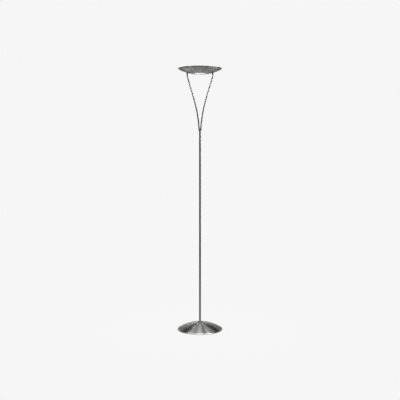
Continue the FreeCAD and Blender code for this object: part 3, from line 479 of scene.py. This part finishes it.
# Spring steel wire: bright grey
SPRING_WIRE = Grained("hard_drawn_spring_wire", "tungsten", "#A4A5A8", 0.28, 1.0, 0.2, 0.003, 6.0, 0.92, 1.08)
# Black silicone insulation: dull and slightly dusty
SILICONE = Grained("black_silicone_sleeving", "lead_sleeve", "#1F1F1F", 0.55, 0.0, 0.4, 0.01, 10.0, 0.85, 1.2)
# Two-colour insulation of the earth wire
EARTH_SLEEVE = StripedSleeve("two_colour_sleeving", "earth_sleeve", "#3E8F38", 0.45)


# Modelling

# A copied node's corners that are nearer to each other than this are one corner
JOIN_MM = 0.002
# Neighbouring faces that turn by less than this are one face
FLAT_DEG = 0.5
# A turned piece's first and last corners that are nearer to each other than this are one corner
SEAM_MM = 0.01
# A face looks along an axis when its normal has more than this share of that axis
FACING = 0.9


def deselect_all() -> None:
    """Leave edit mode and let go of every object."""
    if bpy.context.object and bpy.context.object.mode != "OBJECT":
        bpy.ops.object.mode_set(mode="OBJECT")
    bpy.ops.object.select_all(action="DESELECT")


def pick(piece: Piece) -> None:
    """Make a piece the only selected and active object.

    Args:
        piece: the piece that is picked.
    """
    deselect_all()
    piece.select_set(True)
    bpy.context.view_layer.objects.active = piece


@contextmanager
def editing(piece: Piece) -> Iterator[None]:
    """Edit a piece's mesh, and leave edit mode afterwards.

    Args:
        piece: the piece whose mesh is edited.
    """
    pick(piece)
    bpy.ops.object.mode_set(mode="EDIT")
    yield
    bpy.ops.object.mode_set(mode="OBJECT")


def select_faces(piece: Piece, test: Test) -> None:
    """Select the faces that pass a test, in edit mode.

    Args:
        piece: the piece that is being edited.
        test: takes a face's middle and its normal, and says whether it is selected.
    """
    bpy.ops.mesh.select_mode(type="FACE")
    bpy.ops.mesh.select_all(action="DESELECT")
    mesh = bmesh.from_edit_mesh(piece.data)
    chosen = [face for face in mesh.faces if test(face.calc_center_median(), face.normal)]
    for face in chosen:
        face.select_set(True)
    bmesh.update_edit_mesh(piece.data)


def settle(piece: Piece) -> Piece:
    """Move a piece's place into its mesh, so that its object sits unturned at the origin.

    Args:
        piece: the piece that is settled.

    Returns:
        The same piece.
    """
    pick(piece)
    bpy.ops.object.transform_apply(location=True, rotation=True, scale=True)
    return piece


def apply_modifier(piece: Piece, kind: str, **settings: object) -> None:
    """Add a modifier to a piece and apply it.

    Args:
        piece: the piece that is changed.
        kind: the modifier's type.
        settings: the modifier's own settings.
    """
    pick(piece)
    modifier = piece.modifiers.new(kind.lower(), kind)
    for name, setting in settings.items():
        setattr(modifier, name, setting)
    bpy.ops.object.modifier_apply(modifier=modifier.name)


def smooth(piece: Piece, limit: float = 35.0) -> None:
    """Shade a piece smoothly, except across its sharp edges.

    Args:
        piece: the piece that is shaded.
        limit: the angle in degrees from which an edge counts as sharp.
    """
    pick(piece)
    bpy.ops.object.shade_smooth_by_angle(angle=math.radians(limit))


def named_primitive(name: str) -> Piece:
    """Give the primitive that was just added its name, and put its place in its mesh.

    Args:
        name: the name that it gets.

    Returns:
        The named piece.
    """
    piece = bpy.context.object
    piece.name = name
    piece.data.name = name
    return settle(piece)


def lathe(name: str, half: Outline, middle: Vector, steps: int = 48) -> Piece:
    """Turn a symmetrical piece about X from one half of its outline, as on a lathe.

    Args:
        name: the piece's name.
        half: (distance from the middle, radius) corners of one half, outwards, in millimetres.
        middle: the middle of the piece, on its axis.
        steps: how many facets go round the piece.

    Returns:
        The turned piece.
    """
    deselect_all()
    outline = [(-along, radius) for along, radius in reversed(half)] + half
    places = [middle + X_AXIS * (along * MM) + Z_AXIS * (radius * MM) for along, radius in outline]
    bpy.ops.mesh.primitive_plane_add(size=MM, location=places[0])
    piece = named_primitive(name)
    with editing(piece):
        bpy.ops.mesh.select_all(action="SELECT")
        bpy.ops.mesh.merge(type="CENTER")
        bpy.ops.mesh.select_mode(type="VERT")
        bpy.ops.mesh.select_all(action="SELECT")
        for here, there in zip(places, places[1:]):
            bpy.ops.mesh.extrude_vertices_move(TRANSFORM_OT_translate={"value": there - here})
        bpy.ops.mesh.select_all(action="SELECT")
        bpy.ops.mesh.spin(steps=steps, angle=math.tau, center=middle, axis=X_AXIS)
        bpy.ops.mesh.select_all(action="SELECT")
        bpy.ops.mesh.remove_doubles(threshold=SEAM_MM * MM)
        bpy.ops.mesh.normals_make_consistent(inside=False)
    return piece


def hand_over(piece: Piece, finish: Finish, body: str, node: str) -> None:
    """Give a new piece its finish and its body, and let it stand for its node.

    Args:
        piece: the new piece.
        finish: its finish.
        body: the body that it moves with.
        node: the node that it stands for.
    """
    piece.data.materials.clear()
    piece.data.materials.append(finish.material())
    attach(piece, body)
    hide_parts(node)
    log.info("%s: %d faces, %s, on %s", piece.name, len(piece.data.polygons), finish.name, body)


def dress(node: str, finish: Finish) -> None:
    """Give a node of the frame its finish.

    Args:
        node: the node's name.
        finish: the finish that it gets.
    """
    piece = frame["nodes"][node]
    piece.data.materials.clear()
    piece.data.materials.append(finish.material())
    log.info("%s: kept, %s", node, finish.name)


def copied(node: str, name: str) -> Piece:
    """Copy a node as a piece of its own, with its faces joined up.

    Args:
        node: the node that is copied.
        name: the copy's name.

    Returns:
        The copy.
    """
    source = frame["nodes"][node]
    piece = source.copy()
    piece.data = source.data.copy()
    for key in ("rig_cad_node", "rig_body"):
        del piece[key]
    piece.parent = None
    piece.name = name
    piece.data.name = name
    bpy.context.scene.collection.objects.link(piece)
    with editing(piece):
        bpy.ops.mesh.select_mode(type="VERT")
        bpy.ops.mesh.select_all(action="SELECT")
        bpy.ops.mesh.remove_doubles(threshold=JOIN_MM * MM)
        bpy.ops.mesh.dissolve_limited(angle_limit=math.radians(FLAT_DEG))
    return piece


def broken_edges(piece: Piece, width_mm: float, sharp: float = 40.0) -> None:
    """Break a piece's sharp edges, as on the real piece.

    Args:
        piece: the piece that is changed.
        width_mm: how wide each broken edge is.
        sharp: the angle in degrees from which an edge counts as sharp.
    """
    apply_modifier(piece, "BEVEL", width=width_mm * MM, segments=2, limit_method="ANGLE",
                   angle_limit=math.radians(sharp))


def eased(node: str, finish: Finish, body: str, width_mm: float) -> None:
    """Stand a copy of a node in its place, with its sharp edges broken.

    Args:
        node: the node that is copied and replaced.
        finish: the finish of the copy.
        body: the body that it moves with.
        width_mm: how wide each broken edge is.
    """
    piece = copied(node, f"{node}_eased")
    broken_edges(piece, width_mm)
    smooth(piece)
    hand_over(piece, finish, body, node)


# The lamp's parts

@dataclass
class Base:
    """The spun dome with its weight, pad, clamping parts and terminal block."""

    edges_mm: dict[str, tuple[Finish, float]] = field(default_factory=lambda: {
        "floor_pad": (PAD_FOAM, 0.6), "base_weight": (CASTING, 1.2), "cord_grommet": (GROMMET_RUBBER, 0.4),
        "stem_collar": (SPUN_BASE, 0.25), "rod_nut": (ZINC, 0.4), "rod_washer": (ZINC, 0.2),
        "terminal_block": (WHITE_NYLON, 0.3),
    })
    kept: dict[str, Finish] = field(default_factory=lambda: {
        "base_cover": SPUN_BASE, "base_spacer": ZINC, "base_rod": ZINC, "terminal_sleeves": BRASS,
        "terminal_clamps": BRASS, "terminal_screws": ZINC, "earth_tag": ZINC, "earth_lead": EARTH_SLEEVE,
    })

    def build(self) -> None:
        """Break the edges of the solid parts."""
        for node, (finish, edge_mm) in self.edges_mm.items():
            eased(node, finish, "stand", edge_mm)

    def dress(self) -> None:
        """Give the other parts their finishes."""
        for node, finish in self.kept.items():
            dress(node, finish)


@dataclass
class Stem:
    """The two tubes, what joins them, and the fork joint on top."""

    kept: dict[str, Finish] = field(default_factory=lambda: {
        "lower_stem_tube": STEM_TUBE_PAINTED_SHADE, "upper_stem_tube": STEM_TUBE_PAINTED_SHADE, "stem_foot_bush": ZINC,
        "lower_joint_bush": ZINC, "upper_joint_bush": ZINC, "stem_nipple": ZINC, "left_arm": TUBE,
        "right_arm": TUBE, "left_lead": SILICONE, "right_lead": SILICONE,
    })
    joint_edge_mm: float = 0.5
    screw_edge_mm: float = 0.12
    screw_sharp: float = 50.0
    socket_radius_mm: float = 0.85
    socket_depth_mm: float = 1.6

    def build(self) -> None:
        """Ease the fork joint's edges and make its grub screw with a socket."""
        eased("fork_joint", CAST_JOINT, "stand", self.joint_edge_mm)
        low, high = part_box("fork_screw")
        middle = (low + high) / 2
        radius = (high.x - low.x) / 2
        bpy.ops.mesh.primitive_cylinder_add(vertices=48, radius=radius, depth=high.y - low.y,
                                            location=middle, rotation=(math.pi / 2, 0, 0))
        screw = named_primitive("fork_grub_screw")
        inwards = (0, -self.socket_depth_mm * MM, 0)
        with editing(screw):
            select_faces(screw, lambda place, normal: normal.y > FACING)
            bpy.ops.mesh.inset(thickness=radius - self.socket_radius_mm * MM)
            bpy.ops.mesh.extrude_region_move(TRANSFORM_OT_translate={"value": inwards})
        broken_edges(screw, self.screw_edge_mm, self.screw_sharp)
        smooth(screw)
        hand_over(screw, ZINC, "stand", "fork_screw")

    def dress(self) -> None:
        """Give the tubes and the hidden parts their finishes."""
        for node, finish in self.kept.items():
            dress(node, finish)


@dataclass
class Knuckle:
    """One side's black knuckle on its arm, and the lug that turns in it."""

    side: Side
    knuckle_edge_mm: float = 0.45
    lug_edge_mm: float = 0.25

    def build(self) -> None:
        """Break the knuckle's and the lug's edges."""
        eased(f"{self.side.word}_knuckle", BLACK_NYLON, "stand", self.knuckle_edge_mm)
        eased(f"{self.side.word}_lug", BLACK_NYLON, "head", self.lug_edge_mm)


@dataclass
class Bowl:
    """The spun bowl with its opal disc and the clips that hold it."""

    disc_edge_mm: float = 0.5
    clip_edge_mm: float = 0.15

    def build(self) -> None:
        """Break the edges of the disc and its clips."""
        eased("glass_disc", OPAL, "head", self.disc_edge_mm)
        eased("disc_clips", ZINC, "head", self.clip_edge_mm)

    def dress(self) -> None:
        """Give the bowl and the pivot pins their finishes."""
        dress("shade_bowl", SPUN_BOWL)
        dress("knuckle_trunnions", ZINC)


@dataclass
class LinearLamp:
    """The quartz lamp: a drawn tube with pinched ends, a coiled filament and ceramic caps.

    The tube's outlines are one half of it, as (distance from the middle, radius) corners.
    """

    outside_mm: Outline = field(default_factory=lambda: [
        (42.2, 5.5), (43.9, 4.8), (45.2, 3.3), (46.4, 2.8), (50.8, 2.8), (50.8, 0.0),
    ])
    inside_mm: Outline = field(default_factory=lambda: [(40.0, 4.6), (41.8, 3.4), (42.8, 0.0)])
    pinch_from_mm: float = 46.2
    pinch_flatness: float = 0.55
    tip_middle_mm: float = 5.35
    tip_foot_radius_mm: float = 1.76
    tip_neck_radius_mm: float = 0.35
    tip_height_mm: float = 1.8
    tip_point_mm: float = 0.5
    tip_point_share: float = 0.3
    coil_radius_mm: float = 0.72
    wire_radius_mm: float = 0.16
    coil_half_mm: float = 35.0
    coil_turns: int = 64
    turn_steps: int = 14
    tail_radius_mm: float = 0.3
    tail_edge_mm: float = 0.08
    tail_overlap_mm: float = 0.4
    cap_half_mm: float = 57.0
    cap_edge_mm: float = 0.4

    def build(self) -> None:
        """Make the tube, the filament and the caps about the lamp's own axis."""
        low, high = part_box("lamp_glass")
        middle = (low + high) / 2
        self.make_tube(middle)
        self.make_filament(middle)
        eased("lamp_caps", STEATITE, "head", self.cap_edge_mm)

    def make_tube(self, middle: Vector) -> None:
        """Turn the tube, squeeze its ends and draw its tip.

        Args:
            middle: the middle of the lamp.
        """
        tube = lathe("quartz_tube", self.outside_mm, middle)
        with editing(tube):
            select_faces(tube, lambda place, normal: abs(place.x - middle.x) > self.pinch_from_mm * MM)
            bpy.ops.transform.resize(value=(1, 1, self.pinch_flatness), center_override=middle)
        deselect_all()
        top = middle + Z_AXIS * (self.tip_middle_mm * MM)
        bpy.ops.mesh.primitive_cone_add(vertices=24, radius1=self.tip_foot_radius_mm * MM,
                                        radius2=self.tip_neck_radius_mm * MM,
                                        depth=self.tip_height_mm * MM, location=top)
        tip = named_primitive("quartz_tip")
        with editing(tip):
            select_faces(tip, lambda place, normal: normal.z > FACING)
            upwards = (0, 0, self.tip_point_mm * MM)
            bpy.ops.mesh.extrude_region_move(TRANSFORM_OT_translate={"value": upwards})
            bpy.ops.transform.resize(value=(self.tip_point_share, self.tip_point_share, 1))
        apply_modifier(tube, "BOOLEAN", object=tip, operation="UNION", solver="EXACT")
        bpy.data.objects.remove(tip)
        hollow = lathe("quartz_hollow", self.inside_mm, middle)
        apply_modifier(tube, "BOOLEAN", object=hollow, operation="DIFFERENCE", solver="EXACT")
        bpy.data.objects.remove(hollow)
        smooth(tube, 40.0)
        hand_over(tube, QUARTZ, "head", "lamp_glass")

    def make_filament(self, middle: Vector) -> None:
        """Wind the filament and give it straight tails.

        Args:
            middle: the middle of the lamp.
        """
        deselect_all()
        start = middle - X_AXIS * (self.coil_half_mm * MM)
        bpy.ops.mesh.primitive_circle_add(vertices=8, radius=self.wire_radius_mm * MM,
                                          location=start + Z_AXIS * (self.coil_radius_mm * MM),
                                          rotation=(math.pi / 2, 0, 0))
        coil = named_primitive("coiled_filament")
        coil.data.transform(Matrix.Translation(-start))
        coil.location = start
        pitch = 2 * self.coil_half_mm * MM / self.coil_turns
        apply_modifier(coil, "SCREW", axis="X", angle=math.tau, screw_offset=pitch,
                       iterations=self.coil_turns, steps=self.turn_steps, render_steps=self.turn_steps,
                       use_smooth_shade=True)
        settle(coil)
        parts = [coil]
        for side in Side:
            inner = self.coil_half_mm - self.tail_overlap_mm
            outer = self.cap_half_mm
            centre = middle + X_AXIS * (side.value * (inner + outer) / 2 * MM)
            bpy.ops.mesh.primitive_cylinder_add(vertices=12, radius=self.tail_radius_mm * MM,
                                                depth=(outer - inner) * MM, location=centre,
                                                rotation=(0, math.pi / 2, 0))
            tail = named_primitive(f"{side.word}_filament_tail")
            with editing(tail):
                select_faces(tail, lambda place, normal: abs(normal.x) > FACING)
                bpy.ops.mesh.bevel(offset=self.tail_edge_mm * MM, segments=2)
            parts.append(tail)
        deselect_all()
        for part in parts:
            part.select_set(True)
        bpy.context.view_layer.objects.active = coil
        bpy.ops.object.join()
        smooth(coil, 60.0)
        hand_over(coil, TUNGSTEN, "head", "lamp_filament")


@dataclass
class LampUnit:
    """The bracket across the bowl with its holders, nuts, screws, plungers, springs and leads."""

    bracket_edge_mm: float = 0.35
    nut_edge_mm: float = 0.45
    screw_edge_mm: float = 0.3
    holder_edge_mm: float = 0.7

    def build(self) -> None:
        """Break the edges of the bracket, its nuts, screws and holders, and make the springs."""
        eased("lamp_bracket", ZINC, "head", self.bracket_edge_mm)
        eased("lug_nuts", ZINC, "head", self.nut_edge_mm)
        eased("holder_screws", ZINC, "head", self.screw_edge_mm)
        for side in Side:
            eased(f"{side.word}_lampholder", STEATITE, "head", self.holder_edge_mm)
            self.spring(side)

    def spring(self, side: Side) -> None:
        """Make the spring as a smoothly shaded copy of its node, with a mesh of its own.

        Args:
            side: the side that the spring is on.
        """
        node = f"{side.word}_contact_spring"
        piece = copied(node, f"{node}_wound")
        smooth(piece, 60.0)
        hand_over(piece, SPRING_WIRE, "head", node)
        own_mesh(piece)

    def dress(self) -> None:
        """Give the plungers and leads their finishes."""
        for side in Side:
            dress(f"{side.word}_contact", BRASS)
            dress(f"{side.word}_head_lead", SILICONE)


# The studio

class Quarter(Enum):
    """A quarter of the studio around the lamp, by the direction to its middle."""

    BACK = (0, 1, 0)
    RIGHT = (1, 0, 0)
    LEFT = (-1, 0, 0)
    FRONT = (0, -1, 0)


@dataclass(frozen=True)
class Softbox:
    """A soft studio light: where it hangs, what it faces, its size and the radiance of its face."""

    name: str
    place: tuple[float, float, float]
    target: tuple[float, float, float]
    width: float
    length: float
    radiance: float

    def hang(self) -> None:
        """Hang the light where only the polished pieces show it, as streaks and lines of light."""
        lamp = bpy.data.lights.new(self.name, "AREA")
        lamp.shape = "RECTANGLE"
        lamp.size = self.width
        lamp.size_y = self.length
        lamp.energy = self.radiance * math.pi * self.width * self.length
        holder = bpy.data.objects.new(self.name, lamp)
        holder.location = self.place
        facing = Vector(self.target) - Vector(self.place)
        holder.rotation_euler = facing.to_track_quat("-Z", "Y").to_euler()
        holder.visible_camera = False
        holder.visible_diffuse = False
        bpy.context.scene.collection.objects.link(holder)


@dataclass
class Studio:
    """The pale floor, the backdrop, the lights and the camera.

    Matt surfaces are lit by an even white room. Polished ones show the softboxes, the white floor and horizon
    behind the lamp, a lit ceiling in front of it and dark walls elsewhere.
    """

    camera_distance: float = 4.678
    camera_height: float = 1.2057
    camera_pitch: float = 3.7
    focal_px: float = 681.0
    picture_px: float = 400.0
    floor_half: float = 14.0
    shadow_share: float = 0.1
    shadow_near: float = 0.35
    shadow_far: float = 1.1
    room_below: float = 0.95
    room_above: float = 1.1
    seam_outer: float = 0.62
    seam_inner: float = 0.79
    softboxes: tuple[Softbox, ...] = (
        Softbox("base_overhead_back", (0.0, 1.2, 5.9), (0.0, 0.0, 0.03), 0.64, 1.0, 8.0),
        Softbox("base_overhead_front", (0.0, -1.2, 5.9), (0.0, 0.0, 0.03), 0.64, 1.0, 16.0),
        Softbox("base_right_front", (4.22, -2.2, 7.67), (0.0, 0.0, 0.03), 0.96, 1.5, 50.5),
        Softbox("base_right", (1.745, -0.348, 2.445), (0.0, 0.0, 0.03), 0.32, 0.5, 23.1),
        Softbox("base_left_back", (-1.216, 0.647, 2.695), (0.0, 0.0, 0.03), 0.32, 0.5, 14.1),
        Softbox("base_back", (-0.28, 8.7, 2.31), (0.0, 0.0, 0.03), 0.96, 1.5, 6.0),
        Softbox("arm_left_front", (-1.6, -1.2, 1.7), (-0.06, 0.0, 1.65), 0.3, 0.3, 24.0),
        Softbox("bowl_right", (1.431, -0.217, 1.375), (0.0, 0.0, 1.9), 0.3, 0.3, 16.5),
        Softbox("bowl_right_back", (1.435, 0.284, 1.437), (0.0, 0.0, 1.9), 0.3, 0.3, 9.8),
        Softbox("bowl_right_low", (1.063, -0.353, 0.772), (0.0, 0.0, 1.9), 0.3, 0.3, 6.5),
        Softbox("bowl_back_low", (0.0, 0.513, 0.36), (0.0, 0.0, 1.9), 0.3, 0.3, 4.3),
        Softbox("bowl_left_back", (-0.477, 1.088, 0.854), (0.0, 0.0, 1.9), 0.3, 0.3, 4.4),
        Softbox("bowl_left_low", (-0.28, 0.8, 0.6), (0.0, 0.0, 1.9), 0.3, 0.3, 3.0),
    )
    # The floor's brightness in polished pieces, by the distance from the lamp in metres
    floor_gloss: dict[Quarter, Steps] = field(default_factory=lambda: {
        Quarter.BACK: [(0.0, 0.6), (0.35, 0.92), (3.5, 0.92), (5.0, 0.35)],
        Quarter.RIGHT: [(0.0, 0.6), (0.35, 0.92), (1.1, 0.92), (1.4, 0.0)],
        Quarter.LEFT: [(0.0, 0.6), (1.1, 0.6), (1.4, 0.0)],
        Quarter.FRONT: [(0.0, 0.92), (0.35, 0.6), (1.1, 0.6), (1.4, 0.0)],
    })
    # The room's brightness in polished pieces, by the sine of the angle above the horizon
    room_gloss: dict[Quarter, Steps] = field(default_factory=lambda: {
        Quarter.BACK: [(-0.3, 0.3), (0.1, 0.3), (0.14, 0.0), (0.28, 0.0), (0.32, 0.66), (0.48, 0.66),
                       (0.52, 0.0)],
        Quarter.LEFT: [(0.68, 0.0), (0.72, 0.19), (0.86, 0.19), (0.9, 2.65)],
        Quarter.FRONT: [(0.68, 0.0), (0.72, 2.5), (0.86, 2.5), (0.9, 4.0)],
    })

    def build(self) -> None:
        """Make the floor, the world, the lights and the camera."""
        self.lay_floor()
        self.hang_backdrop()
        for softbox in self.softboxes:
            softbox.hang()
        self.set_camera()

    def by_quarter(self, tree: Tree, way: Socket, amount: Socket, levels: dict[Quarter, Steps],
                   low: float, high: float) -> Socket:
        """Make a brightness that follows an amount in each quarter, with soft seams between the quarters.

        Args:
            tree: the nodes of the floor or the world.
            way: the direction from the lamp.
            amount: what the steps follow, such as the distance from the lamp.
            levels: (amount, brightness) pairs by quarter, in order.
            low: the amount's lowest value.
            high: the amount's highest value.

        Returns:
            The socket that gives the brightness.
        """
        flat = add_node(tree, "VectorMath", {0: way, 1: (1, 1, 0)}, operation="MULTIPLY").outputs[0]
        level_way = add_node(tree, "VectorMath", {0: flat}, operation="NORMALIZE").outputs[0]
        share = add_node(tree, "MapRange", {"Value": amount, "From Min": low, "From Max": high}).outputs[0]
        total = None
        for quarter, steps in levels.items():
            turned = add_node(tree, "VectorMath", {0: level_way, 1: quarter.value}, operation="DOT_PRODUCT")
            facing = turned.outputs["Value"]
            seam = {"Value": facing, "From Min": self.seam_outer, "From Max": self.seam_inner}
            inside = add_node(tree, "MapRange", seam, interpolation_type="SMOOTHSTEP").outputs[0]
            ramp = add_node(tree, "ValToRGB", {0: share})
            brightest = max(level for _, level in steps)
            while len(ramp.color_ramp.elements) < len(steps):
                ramp.color_ramp.elements.new(1.0)
            for element, (place, level) in zip(ramp.color_ramp.elements, steps):
                grey = level / brightest
                element.position = (place - low) / (high - low)
                element.color = (grey, grey, grey, 1.0)
            scaled = add_node(tree, "Math", {0: inside, 1: brightest}, operation="MULTIPLY").outputs[0]
            part = add_node(tree, "Math", {0: ramp.outputs[0], 1: scaled}, operation="MULTIPLY").outputs[0]
            if total:
                total = add_node(tree, "Math", {0: total, 1: part}, operation="ADD").outputs[0]
            else:
                total = part
        return total

    def gloss_share(self, tree: Tree, path: bpy.types.NodeOutputs) -> Socket:
        """Tell the rays that polished or clear pieces send out from all others.

        Args:
            tree: the nodes of the floor or the world.
            path: the outputs of its Light Path node.

        Returns:
            The socket that gives 1 for a glossy or a transmission ray and 0 for another.
        """
        rays = {0: path["Is Glossy Ray"], 1: path["Is Transmission Ray"]}
        return add_node(tree, "Math", rays, operation="MAXIMUM").outputs[0]

    def lay_floor(self) -> None:
        """Lay a pale floor that is as white as the backdrop and still takes the lamp's shadow."""
        deselect_all()
        bpy.ops.mesh.primitive_plane_add(size=2 * self.floor_half)
        floor = named_primitive("studio_floor")
        paint = bpy.data.materials.new("matt_white_floor_paint")
        paint.use_nodes = True
        paint.cycles.emission_sampling = "NONE"
        tree = paint.node_tree
        tree.nodes.clear()
        white = linear(PAPER_WHITE)
        path = add_node(tree, "LightPath").outputs
        matt = add_node(tree, "BsdfDiffuse", {"Color": white})
        paper = add_node(tree, "Emission", {"Color": white})
        place = add_node(tree, "TexCoord").outputs["Object"]
        away = add_node(tree, "VectorMath", {0: place}, operation="LENGTH").outputs["Value"]
        reach = {"Value": away, "From Min": self.shadow_near, "From Max": self.shadow_far,
                 "To Min": 1 - self.shadow_share, "To Max": 1.0}
        fade = add_node(tree, "MapRange", reach, interpolation_type="SMOOTHSTEP").outputs["Result"]
        seen = add_node(tree, "MixShader", {0: fade, 1: matt.outputs[0], 2: paper.outputs[0]})
        mirrored = self.by_quarter(tree, place, away, self.floor_gloss, 0.0, self.floor_half)
        shine = add_node(tree, "Emission", {"Color": mirrored})
        gloss = self.gloss_share(tree, path)
        lit = add_node(tree, "MixShader", {0: gloss, 1: matt.outputs[0], 2: shine.outputs[0]})
        whole = add_node(tree, "MixShader", {0: path["Is Camera Ray"], 1: lit.outputs[0], 2: seen.outputs[0]})
        add_node(tree, "OutputMaterial", {"Surface": whole.outputs[0]})
        floor.data.materials.append(paint)

    def hang_backdrop(self) -> None:
        """Surround the lamp with a white backdrop, an even white room and what polished pieces show of it."""
        world = bpy.data.worlds.new("studio")
        bpy.context.scene.world = world
        world.use_nodes = True
        world.cycles.sampling_method = "NONE"
        tree = world.node_tree
        tree.nodes.clear()
        path = add_node(tree, "LightPath").outputs
        way = add_node(tree, "TexCoord").outputs["Generated"]
        height = add_node(tree, "SeparateXYZ", {0: way}).outputs["Z"]
        rise = {"Value": height, "From Min": -1.0, "From Max": 1.0,
                "To Min": self.room_below, "To Max": self.room_above}
        room = add_node(tree, "MapRange", rise).outputs[0]
        mirrored = self.by_quarter(tree, way, height, self.room_gloss, -1.0, 1.0)
        gloss = self.gloss_share(tree, path)
        lit = add_node(tree, "Mix", {0: gloss, 6: room, 7: mirrored}, data_type="RGBA").outputs[2]
        shown = add_node(tree, "Mix", {0: path["Is Camera Ray"], 6: lit, 7: linear(PAPER_WHITE)},
                         data_type="RGBA").outputs[2]
        light = add_node(tree, "Background", {"Color": shown, "Strength": 1.0})
        add_node(tree, "OutputWorld", {"Surface": light.outputs[0]})

    def set_camera(self) -> None:
        """Stand the camera where it sees the lamp at the right angle and size."""
        lens = bpy.data.cameras.new("studio_camera")
        lens.sensor_width = 36.0
        lens.lens = self.focal_px / self.picture_px * lens.sensor_width
        camera = bpy.data.objects.new("studio_camera", lens)
        camera.location = (0, -self.camera_distance, self.camera_height)
        camera.rotation_euler = (math.radians(90 - self.camera_pitch), 0, 0)
        bpy.context.scene.collection.objects.link(camera)
        bpy.context.scene.camera = camera
        bpy.context.scene.view_settings.view_transform = "Standard"


def main() -> None:
    """Build and dress the lamp, and set up the studio."""
    logging.basicConfig(level=logging.INFO, format="%(message)s")
    base = Base()
    base.build()
    base.dress()
    stem = Stem()
    stem.build()
    stem.dress()
    for side in Side:
        Knuckle(side).build()
    bowl = Bowl()
    bowl.build()
    bowl.dress()
    LinearLamp().build()
    unit = LampUnit()
    unit.build()
    unit.dress()
    Studio().build()


if __name__ == "__main__":
    main()
